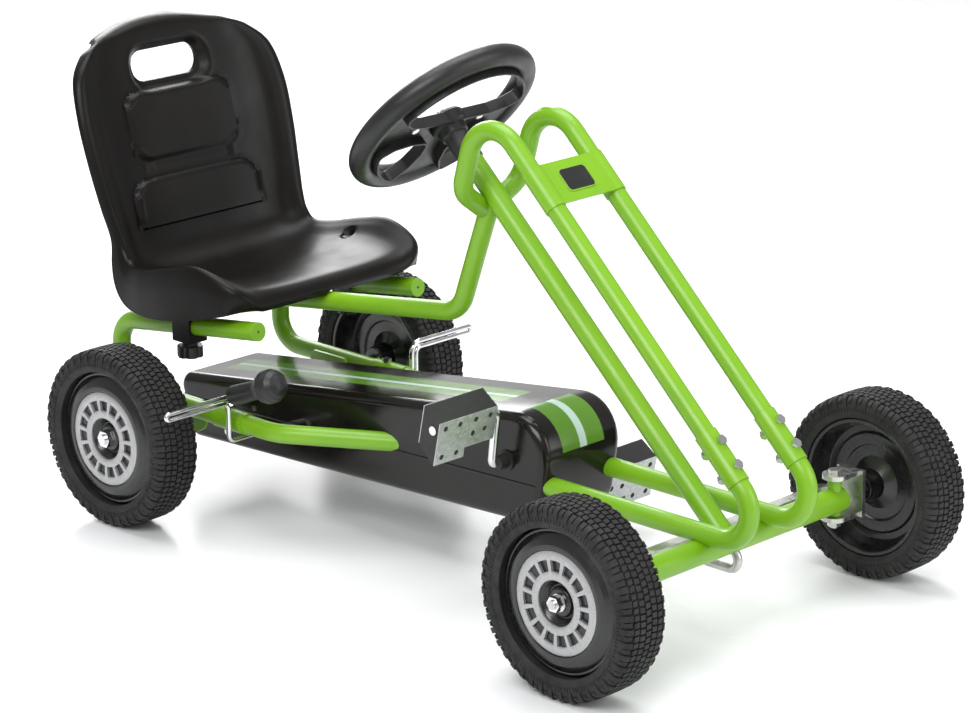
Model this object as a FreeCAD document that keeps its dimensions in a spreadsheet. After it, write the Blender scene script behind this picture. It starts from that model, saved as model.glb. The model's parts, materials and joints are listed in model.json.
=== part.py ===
import FreeCAD, Part
import math
import os
import re
import Sketcher

# Pedal go kart: a bent steel tube frame on four wheels, a chain drive in a moulded case, a bucket seat
# on rails, column steering with a tie rod, and a hand brake on the rear tyres.
#
# Millimetres. +X is forward, +Y is the rider's left, +Z is up. The origin is on the ground, midway between
# the axles. Right-hand pieces are on the -Y side.

Vector = FreeCAD.Vector
UP = Vector(0, 0, 1)
LEFT = Vector(0, 1, 0)
FORWARD = Vector(1, 0, 0)

# name, value in mm (or a count), what it sets
SIZES = [
    ("wheel_base", 740.0, "front axle to rear axle"),
    ("tyre_radius", 105.0, "tyre outside"),
    ("tyre_width", 59.4, "tyre across the tread"),
    ("front_half_track", 245.3, "centre line to the middle of a front tyre"),
    ("rear_half_track", 215.9, "centre line to the middle of a rear tyre"),
    ("bead_radius", 78.0, "tyre inside, where it sits on the rim"),
    ("ring_radius", 55.0, "outside of the wheel trim ring"),
    ("ring_bore", 24.5, "inside of the wheel trim ring"),
    ("ring_thick", 3.5, "trim ring thickness"),
    ("window_count", 15.0, "windows in a trim ring"),
    ("window_inner", 33.5, "window's nearest edge to the wheel axis"),
    ("window_outer", 45.5, "window's furthest edge from the wheel axis"),
    ("window_wide", 11.0, "window along the ring"),
    ("tube_radius", 11.0, "frame and seat tubes"),
    ("tube_wall", 1.5, "tube wall"),
    ("socket_radius", 12.6, "outside of a tube end that is opened out as a socket"),
    ("socket_long", 58.0, "depth of a socket"),
    ("fit_gap", 0.05, "running clearance on a radius"),
    ("room", 0.5, "open clearance round a passing piece"),
    ("frame_half", 47.0, "centre line to a frame tube"),
    ("rail_half", 127.0, "centre line to a seat rail"),
    ("rail_rise", 17.5, "lower frame tube above the axles"),
    ("nose_reach", 118.5, "front corner of the frame ahead of the front axle"),
    ("nose_bend", 36.0, "bend radius at the front corner"),
    ("crown_back", 318.1, "top corner of the frame behind the front axle"),
    ("crown_rise", 435.6, "top corner of the frame above the axles"),
    ("crown_bend", 40.0, "bend radius at the top corner"),
    ("beam_radius", 14.0, "front axle beam"),
    ("beam_drop", 3.0, "front axle beam below the axles"),
    ("kingpin_half", 174.0, "centre line to a kingpin"),
    ("kingpin_radius", 4.0, "kingpin"),
    ("boss_radius", 8.0, "kingpin boss on the beam"),
    ("fork_half", 21.5, "half the opening between the knuckle's flanges"),
    ("plate", 5.0, "knuckle plate thickness"),
    ("stub_radius", 5.0, "front stub axle"),
    ("arm_long", 40.0, "kingpin to the tie rod pin"),
    ("column_radius", 12.7, "steering column tube"),
    ("column_drop", 6.4, "column line below the beam's centre"),
    ("shaft_radius", 5.0, "steering shaft"),
    ("shaft_drop", 18.0, "steering shaft's lower arm, under the beam"),
    ("helm_back", 424.5, "steering wheel centre behind the front axle"),
    ("helm_rise", 389.1, "steering wheel centre above the axles"),
    ("helm_radius", 106.0, "steering wheel rim, to the middle of its section"),
    ("helm_grip", 13.2, "steering wheel rim section"),
    ("axle_radius", 6.0, "rear axle"),
    ("crank_back", 268.5, "pedal crank behind the front axle"),
    ("crank_rise", 39.5, "pedal crank above the axles"),
    ("crank_throw", 65.0, "crank arm, centre to centre"),
    ("crank_tilt", 7.5, "angle of the raised arm from upright, in degrees"),
    ("crank_radius", 5.0, "crank rod"),
    ("arm_half", 86.0, "centre line to a crank arm"),
    ("pedal_wide", 88.0, "pedal along its spindle"),
    ("chain_pitch", 12.7, "chain pitch"),
    ("front_teeth", 22.0, "teeth on the crank sprocket"),
    ("rear_teeth", 11.0, "teeth on the axle sprocket"),
    ("case_half", 62.0, "centre line to the chain case side"),
    ("case_wall", 2.5, "chain case wall"),
    ("brake_ahead", 114.0, "brake shaft ahead of the rear axle"),
    ("brake_reach", 50.0, "brake shaft to the brake bar"),
    ("brake_radius", 2.8, "brake rod"),
    ("seat_half", 158.0, "half the seat's width"),
    ("seat_wall", 4.0, "seat shell wall"),
    ("bolt_sunk", 6.5, "depth of the cup round each seat bolt"),
    ("cup_radius", 8.5, "inside of the cup round each seat bolt"),
    ("tread_plate", 1.2, "pedal tread plate"),
    ("pedal_gap", 8.6, "from the middle of the crank's arm to a pedal"),
    ("seat_ahead", 23.0, "seat clamps ahead of the rear axle"),
]

doc = FreeCAD.newDocument("pedal_kart")
sizes = doc.addObject("Spreadsheet::Sheet", "sizes")
names = [name for name, number, meaning in SIZES]
nodes = []


def fill_sheet():
    for row, (name, number, meaning) in enumerate(SIZES, start=1):
        sizes.set(f"A{row}", name)
        sizes.set(f"B{row}", str(number))
        sizes.set(f"C{row}", meaning)
        sizes.setAlias(f"B{row}", name)
    doc.recompute()


def get(name):
    return float(sizes.get(name))


def bound(text):
    """An expression with each size's name pointed at its cell."""
    return re.sub(r"[a-z_]+", lambda word: f"sizes.{word[0]}" if word[0] in names else word[0], text)


# ---- places worked out from the sheet ----

def front_x():
    return get("wheel_base") / 2


def rear_x():
    return -get("wheel_base") / 2


def hub_z():
    return get("tyre_radius")


def rail_z():
    return hub_z() + get("rail_rise")


def beam_z():
    return hub_z() - get("beam_drop")


def column_foot():
    return Vector(front_x(), 0, beam_z() - get("column_drop"))


def helm_centre():
    return Vector(front_x() - get("helm_back"), 0, hub_z() + get("helm_rise"))


def column_line():
    return unit(column_foot().sub(helm_centre()))


def crank_centre():
    return Vector(front_x() - get("crank_back"), 0, hub_z() + get("crank_rise"))


def nose_corner(side):
    return Vector(front_x() + get("nose_reach"), side * get("frame_half"), rail_z())


def crown_corner(side):
    return Vector(front_x() - get("crown_back"), side * get("frame_half"), hub_z() + get("crown_rise"))


def diagonal_line():
    return unit(crown_corner(1).sub(nose_corner(1)))


def socket_mouth(side):
    """Where the upper tube goes into the lower one, on the front diagonal."""
    return nose_corner(side).add(diagonal_line().multiply(158.5))


# ---- drawing helpers ----

def unit(vector):
    result = Vector(vector)
    result.normalize()
    return result


def along(start, direction, distance):
    return start.add(Vector(direction).multiply(distance))


def turned(axis, degrees):
    return FreeCAD.Rotation(axis, degrees)


def cylinder(radius, height, start, direction):
    return Part.makeCylinder(radius, height, start, direction)


def cylinder_across(radius, y_low, y_high, x, z):
    """A round bar along Y."""
    return cylinder(radius, y_high - y_low, Vector(x, y_low, z), LEFT)


def block(low, high):
    return Part.makeBox(high[0] - low[0], high[1] - low[1], high[2] - low[2], Vector(*low))


def rounded_edges(corners, bends):
    """Straight runs joined by tangent arcs: bends gives the radius at each inner corner."""
    edges = []
    start = corners[0]
    for before, corner, after, radius in zip(corners, corners[1:], corners[2:], bends):
        back = unit(before.sub(corner))
        onward = unit(after.sub(corner))
        half_angle = back.getAngle(onward) / 2
        setback = radius / math.tan(half_angle)
        arc_start = along(corner, back, setback)
        arc_end = along(corner, onward, setback)
        middle = unit(back.add(onward))
        arc_middle = along(corner, middle, radius / math.sin(half_angle) - radius)
        if start.distanceToPoint(arc_start) > 0.001:
            edges.append(Part.LineSegment(start, arc_start).toShape())
        edges.append(Part.Arc(arc_start, arc_middle, arc_end).toShape())
        start = arc_end
    if start.distanceToPoint(corners[-1]) > 0.001:
        edges.append(Part.LineSegment(start, corners[-1]).toShape())
    return edges


def closed_outline(corners, bends):
    """A closed wire through corners, each with its own radius; the first and last run share one line."""
    middle = corners[-1].add(corners[0]).multiply(0.5)
    loop = [middle] + corners + [middle]
    return Part.Wire(rounded_edges(loop, bends))


def rod(corners, bends, radius):
    path = Part.Wire(rounded_edges(corners, bends))
    section = Part.Wire(Part.Circle(corners[0], corners[1].sub(corners[0]), radius).toShape())
    return path.makePipeShell([section], True, False)


def hexagon(across_flats, height, start, direction):
    """A six-sided head or nut from start along direction."""
    axis = unit(direction)
    first = axis.cross(UP if abs(axis.z) < 0.9 else FORWARD)
    first = unit(first).multiply(across_flats / math.sqrt(3))
    points = [start.add(turned(axis, 60 * step).multVec(first)) for step in range(7)]
    return Part.Face(Part.makePolygon(points)).extrude(Vector(axis).multiply(height))


def bolt(radius, across_flats, head_high, start, direction, length):
    """A bolt whose head stands behind start and whose shank runs length along direction."""
    axis = unit(direction)
    head = hexagon(across_flats, head_high, along(start, axis, -head_high), axis)
    return head.fuse(cylinder(radius, length, start, axis))


def nut(hole_radius, across_flats, height, start, direction):
    axis = unit(direction)
    return hexagon(across_flats, height, start, axis).cut(cylinder(hole_radius, height, start, axis))


def keep(label, shape):
    """A sub-part whose shape is worked out here from the sheet's sizes."""
    feature = doc.addObject("Part::Feature", label)
    feature.Label = label
    feature.Shape = shape
    feature.Placement = FreeCAD.Placement()
    nodes.append(feature)
    return feature


def group(label, solids):
    return keep(label, Part.makeCompound(solids))


def new_body(label):
    body = doc.addObject("PartDesign::Body", label)
    body.Label = label
    nodes.append(body)
    return body


def new_sketch(body, role):
    sketch = body.newObject("Sketcher::SketchObject", "sketch")
    plane = [item for item in body.Origin.OriginFeatures if item.Role == role][0]
    sketch.AttachmentSupport = [(plane, "")]
    sketch.MapMode = "FlatFace"
    return sketch


def bind_constraint(sketch, kind, geometry, text, point=None):
    expression = bound(text)
    number = float(sketch.evalExpression(expression))
    if point is None:
        constraint = Sketcher.Constraint(kind, geometry, number)
    else:
        constraint = Sketcher.Constraint(kind, -1, 1, geometry, point, number)
    index = sketch.addConstraint(constraint)
    sketch.setExpression(f"Constraints[{index}]", expression)


def draw_polygon(sketch, points):
    """Straight lines through points, each an (x, y) pair of expressions, closed and fully bound."""
    first = sketch.GeometryCount
    where = [[float(sketch.evalExpression(bound(text))) for text in point] for point in points]
    count = len(points)
    for step in range(count):
        begin = Vector(*where[step], 0)
        finish = Vector(*where[(step + 1) % count], 0)
        sketch.addGeometry(Part.LineSegment(begin, finish))
    for step in range(count):
        following = first + (step + 1) % count
        sketch.addConstraint(Sketcher.Constraint("Coincident", first + step, 2, following, 1))
    for step, (across, upward) in enumerate(points):
        bind_constraint(sketch, "DistanceX", first + step, across, 1)
        bind_constraint(sketch, "DistanceY", first + step, upward, 1)


def draw_circle(sketch, across, upward, radius):
    where = [float(sketch.evalExpression(bound(text))) for text in (across, upward, radius)]
    index = sketch.addGeometry(Part.Circle(Vector(where[0], where[1], 0), UP, where[2]))
    bind_constraint(sketch, "DistanceX", index, across, 3)
    bind_constraint(sketch, "DistanceY", index, upward, 3)
    bind_constraint(sketch, "Radius", index, radius)


def revolve(body, points):
    """A solid of revolution about the body's own Y axis; points are (radius, place along the axis)."""
    sketch = new_sketch(body, "XY_Plane")
    draw_polygon(sketch, points)
    feature = body.newObject("PartDesign::Revolution", "turn")
    feature.Profile = sketch
    feature.ReferenceAxis = (sketch, ["V_Axis"])
    feature.Angle = 360
    doc.recompute()
    return feature


def pad(body, sketch, length, side="One side"):
    feature = body.newObject("PartDesign::Pad", "pad")
    feature.Profile = sketch
    feature.SideType = side
    feature.setExpression("Length", bound(length))
    doc.recompute()
    return feature


def pocket(body, sketch):
    """A cut right through the body, both ways from the sketch."""
    feature = body.newObject("PartDesign::Pocket", "pocket")
    feature.Profile = sketch
    feature.SideType = "Symmetric"
    feature.Type = "ThroughAll"
    doc.recompute()
    return feature


def repeat_round(body, feature, sketch, count):
    pattern = body.newObject("PartDesign::PolarPattern", "pattern")
    pattern.Originals = [feature]
    pattern.Axis = (sketch, ["N_Axis"])
    pattern.Angle = 360
    pattern.setExpression("Occurrences", bound(count))
    body.Tip = pattern
    doc.recompute()
    return pattern


# ---- wheels ----

def wheel_place(x, y):
    """A wheel's own +Y points outwards, so the right-hand ones are turned half round."""
    return FreeCAD.Placement(Vector(x, y, hub_z()), turned(UP, 0 if y > 0 else 180))


def make_tyre(label, place):
    body = new_body(label)
    revolve(body, [
        ("bead_radius", "0 - tyre_width / 2 + 5"),
        ("bead_radius + 5", "0 - tyre_width / 2 + 2"),
        ("tyre_radius - 14", "0 - tyre_width / 2"),
        ("tyre_radius - 4", "0 - tyre_width / 2 + 3"),
        ("tyre_radius", "0 - tyre_width / 2 + 10"),
        ("tyre_radius", "tyre_width / 2 - 10"),
        ("tyre_radius - 4", "tyre_width / 2 - 3"),
        ("tyre_radius - 14", "tyre_width / 2"),
        ("bead_radius + 5", "tyre_width / 2 - 2"),
        ("bead_radius", "tyre_width / 2 - 5"),
    ])
    body.Placement = place


def make_rim(label, place, bore):
    """The wheel disc: a band under the tyre, a crowned outer face with a seat for the ring, and a hub."""
    body = new_body(label)
    revolve(body, [
        (bore, "0 - tyre_width / 2 + 2.4"),
        ("16", "0 - tyre_width / 2 + 2.4"),
        ("17", "0 - 4"),
        ("30", "2"),
        ("bead_radius - 12", "2"),
        ("bead_radius - 6", "0 - tyre_width / 2 + 10"),
        ("bead_radius - 5", "0 - tyre_width / 2 + 5"),
        ("bead_radius", "0 - tyre_width / 2 + 5"),
        ("bead_radius", "tyre_width / 2 - 12"),
        ("bead_radius - 4", "tyre_width / 2 - 12"),
        ("ring_radius + 12", "tyre_width / 2 - 7"),
        ("ring_radius + 3", "tyre_width / 2 - 5"),
        ("ring_radius + 0.2", "tyre_width / 2 - 5"),
        ("ring_radius + 0.2", "tyre_width / 2 - 5 - ring_thick"),
        ("ring_bore - 0.5", "tyre_width / 2 - 5 - ring_thick"),
        ("17", "tyre_width / 2 - 16"),
        ("16", "tyre_width / 2 - 11"),
        (bore, "tyre_width / 2 - 11"),
    ])
    body.Placement = place


def make_ring(label, place):
    """The bright trim ring, with a window cut through it and repeated round the axle."""
    body = new_body(label)
    face = new_sketch(body, "XZ_Plane")
    draw_circle(face, "0", "0", "ring_radius")
    draw_circle(face, "0", "0", "ring_bore")
    pad(body, face, "ring_thick", "Symmetric")
    opening = new_sketch(body, "XZ_Plane")
    draw_polygon(opening, [
        ("window_inner", "0 - window_wide / 2 + 1.5"),
        ("window_outer", "0 - window_wide / 2 - 1"),
        ("window_outer", "window_wide / 2 + 1"),
        ("window_inner", "window_wide / 2 - 1.5"),
    ])
    window = pocket(body, opening)
    repeat_round(body, window, opening, "window_count")
    shift = Vector(0, get("tyre_width") / 2 - 5 - get("ring_thick") / 2, 0)
    body.Placement = place.multiply(FreeCAD.Placement(shift, FreeCAD.Rotation()))


def make_wheels():
    ends = (("front", front_x(), get("front_half_track")), ("rear", rear_x(), get("rear_half_track")))
    for end, x, half in ends:
        for name, side in (("right", -1), ("left", 1)):
            place = wheel_place(x, side * half)
            bore = "stub_radius + fit_gap" if end == "front" else "axle_radius + fit_gap"
            make_tyre(f"tyre_{end}_{name}", place)
            make_rim(f"wheel_{end}_{name}", place, bore)
            make_ring(f"wheel_ring_{end}_{name}", place)


def hub_end(half):
    """Outer face of a wheel's hub, measured from the centre line."""
    return half + get("tyre_width") / 2 - 11


# ---- frame ----

def beam_bar(radius):
    reach = get("kingpin_half") + 10
    return cylinder_across(radius, -reach, reach, front_x(), beam_z())


def make_front_axle_beam():
    fork = get("fork_half") - 0.4
    shape = beam_bar(get("beam_radius"))
    for side in (-1, 1):
        foot = Vector(front_x(), side * get("kingpin_half"), beam_z() + 4.5 - fork)
        shape = shape.fuse(cylinder(get("boss_radius"), 2 * fork, foot, UP))
    inside = get("kingpin_half") - get("boss_radius") - 2
    shape = shape.cut(cylinder_across(get("beam_radius") - 2, -inside, inside, front_x(), beam_z()))
    for side in (-1, 1):
        foot = Vector(front_x(), side * get("kingpin_half"), beam_z() - 40)
        shape = shape.cut(cylinder(get("kingpin_radius") + get("fit_gap"), 90, foot, UP))
    start = along(column_foot(), column_line(), -60)
    shape = shape.cut(cylinder(get("shaft_radius") + get("room"), 120, start, column_line()))
    keep("front_axle_beam", shape)


def cross_bolt_places(side):
    """Middle of each bolt that ties the two frame tubes, on the tube's centre line."""
    mouth = socket_mouth(side)
    down = Vector(diagonal_line()).multiply(-1)
    return [along(mouth, down, 17), along(mouth, down, 48)]


def bolt_holes(shape, places, direction, radius):
    for place in places:
        shape = shape.cut(cylinder(radius, 60, along(place, direction, -30), direction))
    return shape


def across_diagonal():
    """Square to the diagonal, pointing up and forward."""
    return unit(diagonal_line().cross(Vector(0, -1, 0)))


def lower_tube_corners(side):
    half = side * get("frame_half")
    outer = side * get("rail_half")
    level = rail_z()
    return [
        socket_mouth(side),
        nose_corner(side),
        Vector(rear_x() + 305, half, level),
        Vector(rear_x() + 168, outer, level),
        Vector(rear_x() + 70, outer, level),
    ]


def lower_bends():
    return [get("nose_bend"), 60, 60]


def make_frame_tube(label, side):
    """Lower tube: hairpin at the nose, through the chain case, and out beside it to the seat rail."""
    corners = lower_tube_corners(side)
    tube_radius = get("tube_radius")
    bore = tube_radius - get("tube_wall")
    down = Vector(diagonal_line()).multiply(-1)
    shape = rod(corners, lower_bends(), tube_radius)
    shape = shape.fuse(cylinder(get("socket_radius"), get("socket_long") + 6, corners[0], down))
    shape = shape.fuse(cylinder(get("socket_radius"), 50, corners[-1], FORWARD))
    shape = shape.cut(rod(corners, lower_bends(), bore))
    shape = shape.cut(cylinder(tube_radius + get("fit_gap"), get("socket_long"), corners[0], down))
    shape = shape.cut(cylinder(bore + get("fit_gap"), 50, corners[-1], FORWARD))
    shape = shape.cut(beam_bar(get("beam_radius")))
    shape = bolt_holes(shape, cross_bolt_places(side), across_diagonal(), 3.1)
    shape = bolt_holes(shape, [rear_bolt_place(side)], UP, 3.1)
    keep(label, shape)


def rear_bolt_place(side):
    return Vector(rear_x() + 88, side * get("rail_half"), rail_z())


def upper_tube_corners(side):
    half = side * get("frame_half")
    crown = crown_corner(side)
    down = Vector(diagonal_line()).multiply(-1)
    return [
        along(socket_mouth(side), down, get("socket_long") - 1),
        crown,
        crown.add(Vector(-31.6, 0, -111)),
        Vector(crown.x - 39, side * 6.5, crown.z - 138),
    ]


def make_upper_tube(label, side):
    """Upper tube: up the diagonal, over the crown and down to the upright behind the column."""
    corners = upper_tube_corners(side)
    bends = [get("crown_bend"), 30]
    shape = rod(corners, bends, get("tube_radius"))
    shape = shape.cut(rod(corners, bends, get("tube_radius") - get("tube_wall")))
    shape = shape.cut(upright_bar(get("tube_radius") + 0.02))
    low, high = corners[3].add(Vector(-80, 0, -80)), corners[3].add(Vector(80, 0, 80))
    far_half = block((low.x, -60, low.z), (high.x, -0.02, high.z))
    if side < 0:
        far_half = far_half.mirror(Vector(0, 0, 0), LEFT)
    shape = shape.cut(far_half)
    shape = shape.cut(column_bar(get("column_radius") + 0.02))
    shape = bolt_holes(shape, cross_bolt_places(side), across_diagonal(), 3.1)
    solid = max(shape.Solids, key=lambda item: item.Volume)
    keep(label, solid)


def upright_corners():
    crown = crown_corner(1)
    foot = Vector(crown.x - 82.1, 0, crown.z - 266.6)
    return [
        Vector(crown.x - 27, 0, crown.z - 115.6),
        foot,
        Vector(rear_x() - 40, 0, hub_z() + 117.5),
    ]


def upright_bar(radius):
    return rod(upright_corners(), [35], radius)


def rail_corners(side):
    half = side * get("rail_half")
    back = rear_x() - 101
    return [
        Vector(rear_x() + 140, half, hub_z() + 132.6),
        Vector(back, half, hub_z() + 100.5),
        Vector(back, half, rail_z()),
        Vector(rear_x() + 70, half, rail_z()),
    ]


def rail_line():
    corners = rail_corners(1)
    return unit(corners[0].sub(corners[1]))


def rail_point(x, side):
    corners = rail_corners(side)
    return along(corners[1], rail_line(), (x - corners[1].x) / rail_line().x)


def rail_bar(side, radius):
    start = rail_corners(side)[1]
    return cylinder(radius, 400, start, rail_line())


def make_seat_support():
    """Upright and seat tube in one, welded to a cross tube between the seat rails."""
    radius = get("tube_radius")
    bore = radius - get("tube_wall")
    end = upright_corners()[2]
    level = rail_point(end.x, 1).z + 2
    reach = get("rail_half")
    cross = cylinder_across(radius, -reach, reach, end.x, level)
    cross_bore = cylinder_across(bore, -reach, reach, end.x, level)
    run = upright_bar(radius).cut(upright_bar(bore)).cut(cross)
    shape = run.fuse(cross.cut(cross_bore))
    for side in (-1, 1):
        shape = shape.cut(rail_bar(side, radius + 0.02))
    shape = shape.cut(column_bar(get("column_radius") + 0.02))
    keep("seat_support_frame", biggest(shape))


def make_seat_rail(label, side):
    """C-shaped rail: the seat slides on its upper run; its lower run is swaged into the frame tube."""
    corners = rail_corners(side)
    radius = get("tube_radius")
    bore = radius - get("tube_wall")
    shape = rod(corners, [33, 33], radius)
    spigot = bore - 0.1
    shape = shape.fuse(cylinder(spigot, 70, along(corners[3], FORWARD, -22), FORWARD))
    inner = [corners[0], corners[1], corners[2], Vector(corners[3].x - 24, corners[3].y, corners[3].z)]
    shape = shape.cut(rod(inner, [33, 33], bore))
    shape = shape.cut(cylinder(spigot - 1.4, 100, along(corners[3], FORWARD, -25), FORWARD))
    shape = bolt_holes(shape, [rear_bolt_place(side)], UP, 3.1)
    keep(label, shape)


def make_rail_caps():
    """A plug with a flat head in the front end of each seat rail."""
    bore = get("tube_radius") - get("tube_wall")
    caps = []
    for side in (-1, 1):
        end = rail_corners(side)[0]
        cap = cylinder(get("tube_radius"), 3, end, rail_line())
        cap = cap.fuse(cylinder(bore - 0.02, 14, along(end, rail_line(), -14), rail_line()))
        cap = cap.cut(cylinder(1.6, 30, along(end, rail_line(), -15), rail_line()))
        caps.append(cap)
    group("rail_end_caps", caps)


def column_bar(radius):
    top = along(helm_centre(), column_line(), 62)
    return cylinder(radius, top.distanceToPoint(column_foot()), top, column_line())


def make_column_tube():
    shape = column_bar(get("column_radius")).cut(column_bar(get("column_radius") - get("tube_wall")))
    shape = shape.cut(beam_bar(get("beam_radius")))
    keep("steering_column_tube", max(shape.Solids, key=lambda item: item.Volume))


def make_column_bushes():
    """A flanged plastic bush in each end of the column, which the shaft turns in."""
    top = along(helm_centre(), column_line(), 62)
    low = along(column_foot(), column_line(), -42)
    outer = get("column_radius") - get("tube_wall") - 0.02
    bore = get("shaft_radius") + get("fit_gap")
    upper = cylinder(outer, 22, top, column_line())
    upper = upper.fuse(cylinder(get("column_radius") + 1.5, 3, along(top, column_line(), -3), column_line()))
    upper = upper.cut(cylinder(bore, 60, along(top, column_line(), -20), column_line()))
    lower = cylinder(outer, 18, low, column_line())
    lower = lower.cut(cylinder(bore, 60, along(low, column_line(), -20), column_line()))
    group("column_bushes", [upper, lower])


def make_axle_brackets():
    """A plate on the inner side of each rail that carries a rear axle bush."""
    plates = []
    tube_side = get("rail_half") - get("tube_radius")
    corners = [(-30, 24), (-34, -8), (-14, -19), (14, -19), (34, -8), (30, 24)]
    for side in (-1, 1):
        face_y = side * tube_side - (4 if side > 0 else 0)
        points = [Vector(rear_x() + x, face_y, hub_z() + z) for x, z in corners]
        wire = closed_outline(points, [6, 12, 12, 12, 12, 6])
        plate = Part.Face(wire).extrude(Vector(0, 4, 0))
        plates.append(plate.cut(cylinder_across(10, face_y - 5, face_y + 9, rear_x(), hub_z())))
    group("rear_axle_brackets", plates)


def make_axle_bushes():
    bushes = []
    tube_side = get("rail_half") - get("tube_radius")
    for side in (-1, 1):
        inner = side * (tube_side - 10)
        outer = side * tube_side
        low, high = sorted((inner, outer))
        bush = cylinder_across(9.98, low, high, rear_x(), hub_z())
        rim = sorted((side * (tube_side - 6), side * (tube_side - 4)))
        bush = bush.fuse(cylinder_across(13, rim[0], rim[1], rear_x(), hub_z()))
        bore = get("axle_radius") + get("fit_gap")
        bushes.append(bush.cut(cylinder_across(bore, low - 5, high + 5, rear_x(), hub_z())))
    group("rear_axle_bushes", bushes)


def panel_middle():
    """Middle of the front panel, on the plane of the two diagonal tubes."""
    middle = along(crown_corner(1), diagonal_line(), -127.6)
    return Vector(middle.x, 0, middle.z)


def make_front_panel():
    """Plate between the diagonals, with a sleeve round each tube."""
    long = 51
    middle = panel_middle()
    line = diagonal_line()
    start = along(middle, line, -long / 2)
    outward = across_diagonal()
    base = along(start, outward, 8)
    corner = base.add(Vector(0, -get("frame_half"), 0))
    wide = Vector(0, 2 * get("frame_half"), 0)
    rise = Vector(line).multiply(long)
    face = Part.Face(Part.makePolygon([
        corner, corner.add(wide), corner.add(wide).add(rise), corner.add(rise), corner]))
    shape = face.extrude(Vector(outward).multiply(2.6))
    for side in (-1, 1):
        foot = start.add(Vector(0, side * get("frame_half"), 0))
        shape = shape.fuse(cylinder(get("tube_radius") + 1.4, long, foot, line))
    for side in (-1, 1):
        foot = along(start, line, -10).add(Vector(0, side * get("frame_half"), 0))
        shape = shape.cut(cylinder(get("tube_radius") + 0.02, long + 20, foot, line))
    keep("front_panel", shape)


def make_frame_fasteners():
    """Cross bolts with nuts at the front joints, and one upright bolt at each rear joint."""
    bolts = []
    outward = across_diagonal()
    inward = Vector(outward).multiply(-1)
    radius = get("socket_radius")
    for side in (-1, 1):
        for place in cross_bolt_places(side):
            bolts.append(bolt(3, 10, 4, along(place, outward, radius), inward, 2 * radius + 8))
            bolts.append(nut(3.02, 10, 5, along(place, inward, radius), inward))
        place = rear_bolt_place(side)
        down = Vector(0, 0, -1)
        bolts.append(bolt(3, 10, 4, along(place, UP, radius), down, 2 * radius + 8))
        bolts.append(nut(3.02, 10, 5, along(place, down, radius), down))
    group("frame_bolts", bolts)


# ---- steering ----

def fork_middle():
    return beam_z() + 4.5


def make_knuckle(label, side):
    """U-shaped bracket round the beam's end, with the stub axle outside and the steering arm behind."""
    half = get("kingpin_half")
    plate = get("plate")
    fork = get("fork_half")
    x = front_x()
    middle = fork_middle()
    web_in = half + 26
    shape = block((x - 18, web_in, middle - fork - plate), (x + 18, web_in + plate, middle + fork + plate))
    for low in (middle - fork - plate, middle + fork):
        flange = block((x - 14, half, low), (x + 14, web_in + plate, low + plate))
        flange = flange.fuse(cylinder(14, plate, Vector(x, half, low), UP))
        shape = shape.fuse(flange)
    pin_x = x - get("arm_long")
    level = arm_level()
    arm_points = [
        Vector(x - 12, web_in + plate, level),
        Vector(x - 18, web_in, level),
        Vector(pin_x + 6, half - 6, level),
        Vector(pin_x - 6, half + 6, level),
        Vector(x - 26, web_in + plate, level),
    ]
    arm = Part.Face(Part.makePolygon(arm_points + arm_points[:1])).extrude(Vector(0, 0, plate))
    arm = arm.fuse(cylinder(8.5, plate, Vector(pin_x, half, level), UP))
    shape = shape.fuse(arm)
    shape = shape.fuse(cylinder(8, get("front_half_track") - get("tyre_width") / 2 + 2 - web_in,
                                Vector(x, web_in, hub_z()), LEFT))
    stub_long = get("front_half_track") + get("tyre_width") / 2 + 1 - web_in
    shape = shape.fuse(cylinder(get("stub_radius"), stub_long, Vector(x, web_in, hub_z()), LEFT))
    shape = shape.cut(cylinder(get("kingpin_radius") + 0.02, 90, Vector(x, half, middle - 45), UP))
    shape = shape.cut(cylinder(3 + get("fit_gap"), 30, Vector(pin_x, half, level - 10), UP))
    if side < 0:
        shape = shape.mirror(Vector(0, 0, 0), LEFT)
    keep(label, shape)


def make_kingpin(label, side):
    """Kingpin bolt with its lock nut."""
    reach = get("fork_half") + get("plate")
    top = Vector(front_x(), side * get("kingpin_half"), fork_middle() + reach)
    down = Vector(0, 0, -1)
    pin = bolt(get("kingpin_radius"), 13, 5, top, down, 2 * reach + 9)
    lock = nut(get("kingpin_radius") + 0.02, 13, 7, along(top, down, 2 * reach), down)
    group(label, [pin, lock])


def make_wheel_nut(label, side):
    face = side * hub_end(get("front_half_track"))
    out = Vector(0, side, 0)
    start = Vector(front_x(), face + side * 0.3, hub_z())
    washer = cylinder(9.5, 1.5, start, out).cut(cylinder(get("stub_radius") + 0.02, 1.5, start, out))
    lock = nut(get("stub_radius") + 0.02, 15, 8, along(start, out, 1.5), out)
    group(label, [washer, lock])


def arm_level():
    """Underside of the steering arms."""
    return hub_z() - 2


def tie_level():
    """Underside of the tie rod, which lies under the two steering arms."""
    return arm_level() - get("plate") - 0.6


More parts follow.
